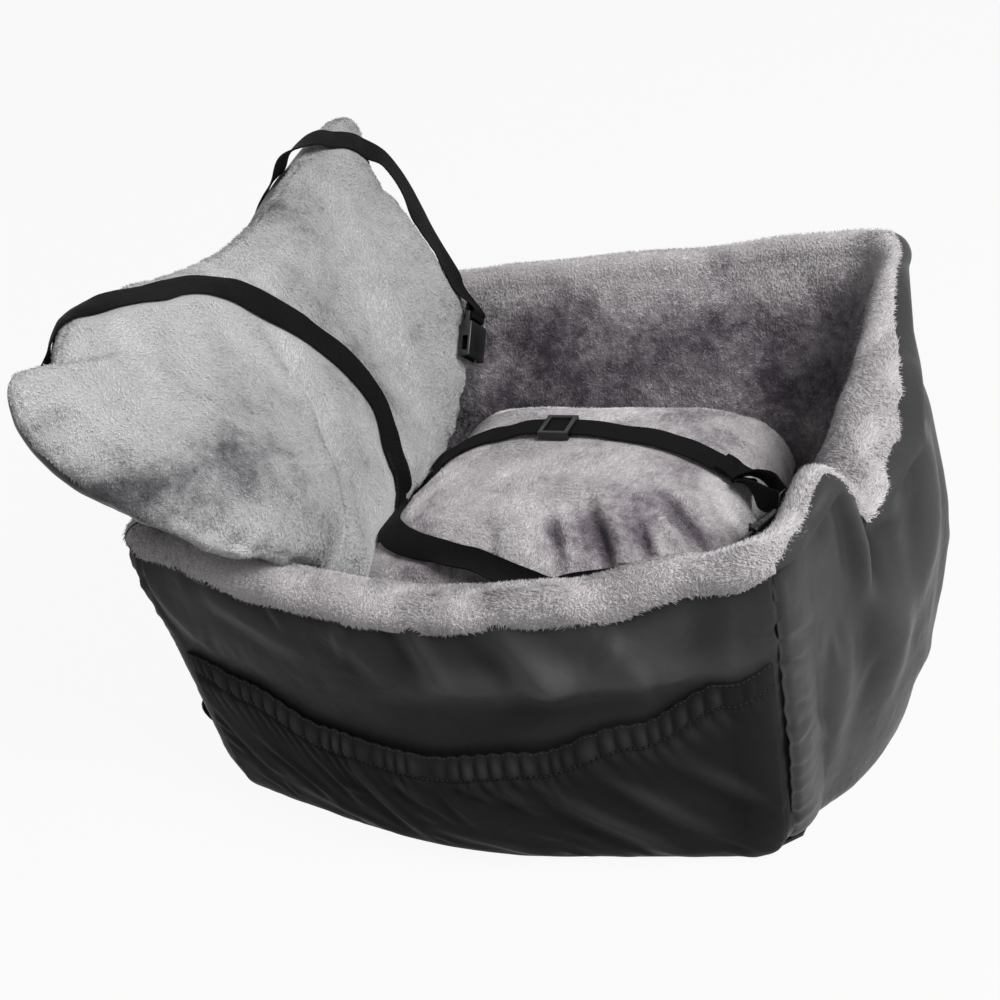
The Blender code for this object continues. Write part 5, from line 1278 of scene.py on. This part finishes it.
        (1821, -5, 2596, 1847, 117, 2578, 1874, 240, 2571, 0, 0, 100),
        (1888, -19, 2540, 1914, 104, 2524, 1939, 226, 2515, 0, 0, 100),
        (1928, -28, 2578, 1995, 66, 2530, 2062, 160, 2483, 22, 31, 92),
        (2063, -9, 2630, 2101, 44, 2523, 2139, 97, 2417, 49, 69, 52),
        (2211, -10, 2619, 2211, -10, 2494, 2211, -10, 2369, 58, 82, 0),
        (2301, -111, 2592, 2301, -111, 2467, 2301, -111, 2342, 58, 82, 0),
        (2369, -205, 2573, 2369, -205, 2448, 2369, -205, 2323, 58, 82, 0),
        (2374, -213, 2573, 2374, -213, 2448, 2374, -213, 2323, 99, 17, 0),
        (2372, -222, 2573, 2372, -222, 2448, 2372, -222, 2323, 82, -58, 0),
        (2364, -227, 2573, 2364, -227, 2448, 2364, -227, 2323, 17, -99, 0),
        (2355, -225, 2573, 2355, -225, 2448, 2355, -225, 2323, -58, -82, 0),
        (2244, -192, 2588, 2244, -192, 2463, 2244, -192, 2338, -58, -82, 0),
        (2118, -140, 2611, 2118, -140, 2486, 2118, -140, 2361, -58, -82, 0),
        (1994, -107, 2615, 2031, -54, 2508, 2069, 0, 2402, -49, -69, -52),
        (1909, -55, 2560, 1976, 40, 2512, 2043, 134, 2464, -22, -31, -92),
        (1939, 226, 2512, 1914, 104, 2521, 1888, -19, 2537, 0, 0, -100),
        (1874, 240, 2568, 1847, 117, 2575, 1821, -5, 2593, 0, 0, -100),
        (1804, 255, 2604, 1774, 134, 2619, 1744, 13, 2629, 0, 0, -100),
    ),
}


def treeOf(pieces):
    points, faces, start = [], [], 0
    for piece in pieces:
        points += [tuple(v.co) for v in piece.data.vertices]
        faces += [tuple(start + i for i in face.vertices) for face in piece.data.polygons]
        start = len(points)
    return BVHTree.FromPolygons(points, faces)


def openCurve(rows, steps):
    p = np.concatenate([rows[:1] * 2 - rows[1:2], rows, rows[-1:] * 2 - rows[-2:-1]])
    a, b, c, d = p[:-3], p[1:-2], p[2:-1], p[3:]
    return np.concatenate([smoothThrough(a, b, c, d, steps), rows[-1:]])


# The tail sinks down the cushion's near side, as in the photo.
def sagging(rows):
    low = np.interp(rows[:, 3] / 10000, *straps["sag"])
    rows[:, [1, 2, 4, 5, 7, 8]] -= low[:, None] * 10000
    return rows


def strapLines(key):
    rows = np.array(straps[key], float)
    if key == "strapTail":
        rows = sagging(rows)
    if key == "nearStrap":  # its end lies on the first of the tail
        raised = np.interp(np.arange(len(rows)), *straps["raised"])  # up onto the pad's top edge
        rows[:, :9] += raised[:, None] * np.tile(backUp, 3)
        slip = np.interp(np.arange(len(rows)), *straps["slip"])
        rows[:, [1, 4, 7]] -= slip[:, None]
        onTail = sagging(np.array(straps["strapTail"], float))[[1, 3, 5]]
        onTail[:, :9] += np.tile(onTail[:, 9:12], 3) * 0.22 + np.array([0, 0, 6.0] * 3)
        rows = np.concatenate([rows, onTail])
    rows = openCurve(rows, straps["steps"])
    left, middle, right = rows[:, 0:3] / 10000, rows[:, 3:6] / 10000, rows[:, 6:9] / 10000
    return left, middle, right, unit(rows[:, 9:12])


# Lets the underside of a strap down onto the pads, where it is within reach of them.
def lieOn(tree, lines, reaches, rest):
    moves = []
    first, later, until = reaches
    for line in lines:
        move = np.zeros_like(line)
        for i, point in enumerate(line):
            reach = float(np.interp(i, (-1, until, until + 12), (first, first, later)))
            hit, normal, _, distance = tree.find_nearest(point, reach)
            if hit is not None:
                target = np.array(hit) + np.array(normal) * rest
                move[i] = (target - point) * float(1 - eased((distance / reach - 0.7) / 0.3))
        moves.append(move)
    kernel = np.hanning(13)[1:-1]
    kernel /= kernel.sum()
    for line, move in zip(lines, moves):
        padded = np.pad(move, ((5, 5), (0, 0)), mode="edge")
        laid = line + np.stack([np.convolve(padded[:, i], kernel, "valid") for i in range(3)], -1)
        for i, point in enumerate(laid):  # nothing sinks in
            hit, normal, _, _ = tree.find_nearest(point, 0.02)
            if hit is not None:
                gap = float((point - np.array(hit)) @ np.array(normal))
                laid[i] += np.array(normal) * max(0.0, rest - gap)
        yield laid


laidStraps = {}  # each strap's lines as they came to lie, for its stitches


def makeStrap(name, key, node, body, tree=None):
    left, middle, right, facing = strapLines(key)
    if tree:
        left, middle, right = lieOn(tree, (left, middle, right), straps["reach"][key], straps["rest"][key])
    laidStraps[key] = left, middle, right, facing
    depth = straps["thickness"]
    t = np.array(straps["across"], float)[None, :, None]
    line = (
        left[:, None] * (2 * (t - 0.5) * (t - 1)) + middle[:, None] * (4 * t * (1 - t))
        + right[:, None] * (2 * t * (t - 0.5))
    )
    full = np.array(straps["full"], float)[None, :, None]
    top = line + facing[:, None] * (depth * (0.5 + 0.5 * full) + 0.0002)
    under = (line + facing[:, None] * (depth * (0.5 - 0.5 * full)))[:, ::-1]
    points = np.concatenate([top, under], 1)
    run = np.concatenate([[0], np.cumsum(np.linalg.norm(np.diff(middle, axis=0), axis=1))])
    wide = np.concatenate([t[0, :, 0], t[0, ::-1, 0], [0]]) * straps["width"]
    uv = np.stack(np.broadcast_arrays(wide[None], run[:, None]), -1)
    flip = np.cross(right[0] - left[0], middle[1] - middle[0]) @ facing[0] < 0
    if flip:
        points = points[:, ::-1]
        uv = np.concatenate([uv[:, :-1][:, ::-1], uv[:, -1:]], 1)
    made = gridPiece(name, points, webbing, uv=uv, closedAround=True)
    only(made)
    bpy.ops.object.mode_set(mode="EDIT")
    bpy.ops.mesh.select_all(action="DESELECT")
    bpy.ops.mesh.select_non_manifold()
    bpy.ops.mesh.edge_face_add()
    bpy.ops.object.mode_set(mode="OBJECT")
    made.data.shade_smooth()
    made.data.set_sharp_from_angle(angle=math.radians(60))
    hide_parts(node)
    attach(made, body)
    return made


padTrees = [treeOf([cushionPiece]), treeOf([backrestPiece])]
strapPieces = [
    makeStrap("backrestStrapNear", "nearStrap", "near_strap", "backrest", padTrees[1]),
    makeStrap("backrestStrapFar", "farStrap", "far_strap", "backrest", padTrees[1]),
    makeStrap("strapTailNear", "strapTail", "near_strap_tail", "seat_cushion", padTrees[0]),
    makeStrap("tetherWebbing", "tether", "tether_webbing", "seat_cushion"),
    makeStrap("tetherLoop", "tetherLoop", "tether_loop", "seat_cushion"),
]
print("straps made")

# The pile: short tufts that lean together in clumps, thinner where a strap presses on them

pile = {
    "near": {"count": 60000, "long": 0.0040, "wide": 0.00062, "clump": 0.0055, "lift": 0.50, "comb": (0.2, 0.0, -1.0)},
    "front": {"count": 52000, "long": 0.0040, "wide": 0.00062, "clump": 0.0055, "lift": 0.50, "comb": (0.0, 0.3, -1.0)},
    "far": {"count": 60000, "long": 0.0040, "wide": 0.00062, "clump": 0.0055, "lift": 0.50, "comb": (0.3, 0.0, -1.0)},
    "rear": {"count": 14000, "long": 0.0040, "wide": 0.00070, "clump": 0.0055, "lift": 0.50, "comb": (0.0, 0.2, -1.0)},
    "cushion": {
        "count": 62000, "long": 0.0040, "wide": 0.00058, "clump": 0.0050, "lift": 0.36, "comb": (0.9, -0.5, 0.0),
    },
    "backrest": {
        "count": 66000, "long": 0.0042, "wide": 0.00066, "clump": 0.0050, "lift": 0.34, "comb": (0.1, -1.0, -0.25),
    },
}


tufts = {
    "swirl": 2.4, "stray": 0.45, "gather": 0.42, "sunk": 0.0004,
    "long": (0.70, 1.25), "lift": (0.7, 1.2), "wide": (0.8, 1.3),  # shares of a pile's own numbers
    "near": 0.0052, "pressed": 0.0030,  # how close a strap has to be
}

pressing = treeOf(
    strapPieces + [frame["nodes"][name] for name in ("buckle_socket", "buckle_plug", "tether_slider", "rear_bolster")]
)


def scatterOn(piece, count, seed, keep):
    mesh = piece.data
    mesh.calc_loop_triangles()
    corners = np.empty(len(mesh.loop_triangles) * 3, np.int32)
    mesh.loop_triangles.foreach_get("vertices", corners)
    corners = corners.reshape(-1, 3)
    index = np.empty(len(mesh.loop_triangles), np.int32)
    mesh.loop_triangles.foreach_get("material_index", index)
    at, out = coordsOf(piece), normalsOf(piece)
    a, b, c = (at[corners[:, i]] for i in range(3))
    area = np.linalg.norm(np.cross(b - a, c - a), axis=1) * (index == 0) * keep((a + b + c) / 3)
    draw = np.random.RandomState(seed)
    chosen = draw.choice(len(corners), count, p=area / area.sum())
    u, v = draw.uniform(0, 1, (2, count))
    over = u + v > 1
    u, v = np.where(over, 1 - u, u), np.where(over, 1 - v, v)
    share = np.stack([1 - u - v, u, v], -1)[..., None]
    value = (openOf(piece)[corners[chosen]] * share[..., 0]).sum(1)
    return (at[corners[chosen]] * share).sum(1), unit((out[corners[chosen]] * share).sum(1)), value, draw


def growPile(name, piece, facts, seed, look, slotName, body, keep):
    roots, out, value, draw = scatterOn(piece, facts["count"], seed, keep)
    count = len(roots)
    comb = np.array(facts["comb"], float) + 0 * out
    field = softNoise(roots[:, 0] * 28 + roots[:, 2] * 17, roots[:, 1] * 28 - roots[:, 2] * 13, seed + 1)
    turn = field * tufts["swirl"]
    comb -= out * (comb * out).sum(1, keepdims=True)
    comb = unit(comb)
    side = np.cross(out, comb)
    turn = (turn + draw.normal(0, tufts["stray"], count))[:, None]
    comb = comb * np.cos(turn) + side * np.sin(turn)
    side = np.cross(out, comb)
    cell = np.floor(roots / facts["clump"] + 0.35 * draw.normal(0, 1, (count, 3)) * 0.5).astype(np.int64)
    mixed = (cell[:, 0] * 73856093) ^ (cell[:, 1] * 19349663) ^ (cell[:, 2] * 83492791)  # a number for each clump
    spread = np.stack([(mixed * k % 1009) / 1009.0 for k in (1, 7, 31)], -1)
    middle = (cell + 0.2 + 0.6 * spread) * facts["clump"]
    gather = middle - roots
    gather -= out * (gather * out).sum(1, keepdims=True)
    reach = np.linalg.norm(gather, axis=1, keepdims=True)
    gather *= np.minimum(1, facts["clump"] * 0.8 / np.maximum(reach, 1e-9))
    long = facts["long"] * draw.uniform(*tufts["long"], (count, 1))
    lift = facts["lift"] * draw.uniform(*tufts["lift"], (count, 1))
    for i in range(count):
        _, _, _, distance = pressing.find_nearest(roots[i], tufts["near"])
        if distance is not None:
            flat = distance < tufts["pressed"]
            lift[i] *= 0.10 if flat else 0.45
            long[i] *= 0.6 if flat else 0.85
    tip = roots + out * long * lift + comb * long * (0.75 - 0.25 * lift) + gather * tufts["gather"]
    wide = facts["wide"] * draw.uniform(*tufts["wide"], (count, 1))
    sunk = roots - out * tufts["sunk"]
    base = [
        sunk + side * wide, sunk - side * wide * 0.6 - comb * wide * 0.7,
        sunk - side * wide * 0.4 + comb * wide * 0.7,
    ]
    points = np.stack(base + [tip], 1)
    start = np.arange(count)[:, None] * 4
    faces = np.concatenate(
        [start + np.array([[0, 2, 3]]), start + np.array([[2, 1, 3]]), start + np.array([[1, 0, 3]])], 1,
    ).reshape(-1, 3)
    normal = np.cross(points[:, 2] - points[:, 0], points[:, 3] - points[:, 0])
    outwardFace = (normal * (points[:, 0] + points[:, 2] - 2 * points[:, 1])).sum(1)
    wrong = np.repeat(outwardFace < 0, 3)
    faces[wrong] = faces[wrong][:, ::-1]
    mesh = bpy.data.meshes.new(name)
    mesh.vertices.add(count * 4)
    mesh.vertices.foreach_set("co", points.astype(np.float32).ravel())
    mesh.loops.add(count * 9)
    mesh.loops.foreach_set("vertex_index", faces.astype(np.int32).ravel())
    mesh.polygons.add(count * 3)
    mesh.polygons.foreach_set("loop_start", np.arange(count * 3, dtype=np.int32) * 3)
    mesh.update(calc_edges=True)
    mesh.validate()
    # one small cell of the map for each tuft, its root at the cell's foot and its tip at the top
    grid = math.ceil(math.sqrt(count))
    order = np.arange(count)
    corner = np.stack([order % grid, order // grid], -1)[:, None, None] / grid
    place = np.zeros((count, 3, 3, 2))
    for k in range(3):
        place[:, k] = (0.05 + 0.3 * k, 0.06), (0.33 + 0.3 * k, 0.06), (0.19 + 0.3 * k, 0.94)
    layer = mesh.uv_layers.new(name="OFBake")
    layer.data.foreach_set("uv", (corner + place / grid).astype(np.float32).ravel())
    clumpShade = (mixed * 13 % 997) / 997.0
    shade = np.clip(0.6 * clumpShade + 0.4 * draw.uniform(0, 1, count), 0, 1)
    mesh.materials.append(look)
    mesh.shade_smooth()
    made = bpy.data.objects.new(name, mesh)
    bpy.context.scene.collection.objects.link(made)
    markPoints(made, np.repeat(shade, 4), "shade")
    markPoints(made, np.repeat(value, 4))
    markPoints(made, np.tile([0.0, 0.0, 0.0, 1.0], count), "tip")
    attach(made, body)
    return made


# Piece, kind of pile, seed, finish, slot, body and the height that the pile starts at.
pileRows = [(linings[side], side, 501 + i, "tub", "tub_plush", "tub", 0.135) for i, side in enumerate(sideNames)]
pileRows.append((cushionPiece, "cushion", 511, "cushion", "cushion_plush", "seat_cushion", 0.192))
pileRows.append((backrestPiece, "backrest", 512, "backrest", "back_plush", "backrest", 0.0))
for piece, kind, seed, look, slotName, body, floor in pileRows:
    growPile(
        "pile" + kind.capitalize(), piece, pile[kind], seed, plush[look][1], slotName, body,
        lambda p: p[:, 2] > floor,
    )
print("pile grown")

# Moulded and metal pieces, from merged copies of their solids with their edges softened

hardware = {
    "buckleSocket": ("buckle_socket", "backrest", "buckle_plastic", 0.00055),
    "buckleTongue": ("buckle_plug", "seat_cushion", "buckle_plastic", 0.00050),
    "tetherSlider": ("tether_slider", "slide_adjuster", "slider_plastic", 0.00035),
    "swivelEye": ("swivel_eye", "seat_cushion", "hook_metal", 0),
    "snapHookBody": ("hook_body", "snap_hook", "hook_metal", 0.0002),
    "snapHookBolt": ("hook_bolt", "bolt", "hook_metal", 0.0001),
    "snapHookSpring": ("hook_spring", "snap_hook", "spring_steel", 0),
}


def copyOfNode(name, node, body, slotName, look, soften):
    made = frame["nodes"][node].copy()
    made.data = frame["nodes"][node].data.copy()
    made.name = made.data.name = name
    made.parent = None
    made.matrix_world = Matrix.Identity(4)
    for key in list(made.keys()):
        del made[key]
    bpy.context.scene.collection.objects.link(made)
    mergeDoubles(made, 1e-6)
    if soften:
        bevel = made.modifiers.new("softEdge", "BEVEL")
        bevel.width = soften
        bevel.segments = 3
        bevel.limit_method = "ANGLE"
        bevel.angle_limit = math.radians(40)
        bpy.ops.object.modifier_apply(modifier=bevel.name)
    only(made)
    bpy.ops.object.shade_smooth_by_angle(angle=math.radians(38))
    made.data.materials.clear()
    made.data.materials.append(look)
    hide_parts(node)
    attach(made, body)
    return made


for name, (node, body, slotName, soften) in hardware.items():
    copyOfNode(name, node, body, slotName, plastic if "plastic" in slotName else plated, soften)
for name, node in (("rearLoopNear", "rear_loop_near"), ("rearLoopFar", "rear_loop_far")):
    copyOfNode(name, node, "tub", "webbing", threadFinish, 0.0003)
sunk = straps["sag"][1][-1]  # the plug lies where the sunk tail ends
bpy.data.objects["buckleTongue"].data.transform(Matrix.Translation((0, -sunk, -sunk)))
# the bolt's slide joint is found and each of the spring's points is measured along it; the spring gets its own mesh
bolt = next(joint for joint in frame["joints"] if joint["name"] == "bolt_slide")
slide, spring = np.array(bolt["axis"], float), bpy.data.objects["snapHookSpring"]
along = coordsOf(spring) @ slide
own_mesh(spring)
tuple(slide)
base = copyOfNode("baseCover", "base_panel", "tub", "base_board", nylon, 0.0010)
base.data.transform(Matrix.Diagonal((0.955, 0.94, 1, 1)))
copyOfNode("floorLining", "floor_liner", "tub", "tub_plush", plush["tub"][0], 0)
copyOfNode("rearBolster", "rear_bolster", "tub", "nylon", nylon, 0.0020)
frame["nodes"]["base_filling"].data.materials.clear()
frame["nodes"]["base_filling"].data.materials.append(nylon)
print("hardware made")

# Stitching

thread = {"long": 0.0032, "gap": 0.0014, "thick": 0.00042}  # one stitch


def stitches(name, points, out, body, facts=thread):
    run = np.concatenate([[0], np.cumsum(np.linalg.norm(np.diff(points, axis=0), axis=1))])
    starts = np.arange(0.001, run[-1] - facts["long"], facts["long"] + facts["gap"])

    def at(distance, values):
        return np.stack([np.interp(distance, run, values[:, i]) for i in range(3)], -1)

    a, b = at(starts, points), at(starts + facts["long"], points)
    facing = unit(at(starts + facts["long"] / 2, out))
    along = unit(b - a)
    side = unit(np.cross(facing, along))
    thick = facts["thick"]
    rings = []  # along the stitch, how thick it is and how far it stands up
    for share, size, rise in (
        (0.0, 0.25, -0.2), (0.16, 0.9, 0.45), (0.5, 1.0, 0.7), (0.84, 0.9, 0.45), (1.0, 0.25, -0.2),
    ):
        middle = a + (b - a) * share + facing * thick * rise
        rings.append(
            [middle + (side * math.cos(t) + facing * math.sin(t)) * thick * size for t in np.arange(6) * math.pi / 3]
        )
    points = np.array(rings).transpose(2, 0, 1, 3)
    count = len(starts)
    index = np.arange(count * 30).reshape(count, 5, 6)
    after = np.roll(index, -1, 2)
    quads = np.stack([index[:, :-1], after[:, :-1], after[:, 1:], index[:, 1:]], -1).reshape(-1, 4)
    quads = quads[:, ::-1] if np.linalg.det(np.array([side[0], facing[0], along[0]])) < 0 else quads
    caps = [list(row) for row in index[:, 0][:, ::-1]] + [list(row) for row in index[:, -1]]
    mesh = bpy.data.meshes.new(name)
    mesh.from_pydata(points.reshape(-1, 3).tolist(), [], quads.tolist() + [[int(i) for i in row] for row in caps])
    mesh.materials.append(threadFinish)
    mesh.shade_smooth()
    made = bpy.data.objects.new(name, mesh)
    bpy.context.scene.collection.objects.link(made)
    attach(made, body)
    return made


pocketOut = gridNormals(pocketPoints)
for k, below in enumerate((0.010, 0.94)):
    row = len(pocketPoints) - 3 - int(round(below * (pocket["hemRows"] - 1)))
    stitches(f"pocketStitching{k}", pocketPoints[row] + pocketOut[row] * 0.0003, pocketOut[row], "tub")
print("stitching made")


# Two rows of stitches along the last points of a strap.
def strapStitches(name, key, body, last):
    left, _, right, facing = (line[-last:-1] for line in laidStraps[key])
    for share in (0.10, 0.90):
        line = left + (right - left) * share + facing * (straps["thickness"] + 0.0003)
        stitches(f"{name}0{int(share * 100)}", line, facing, body)


strapStitches("strapStitch", "nearStrap", "backrest", 30)
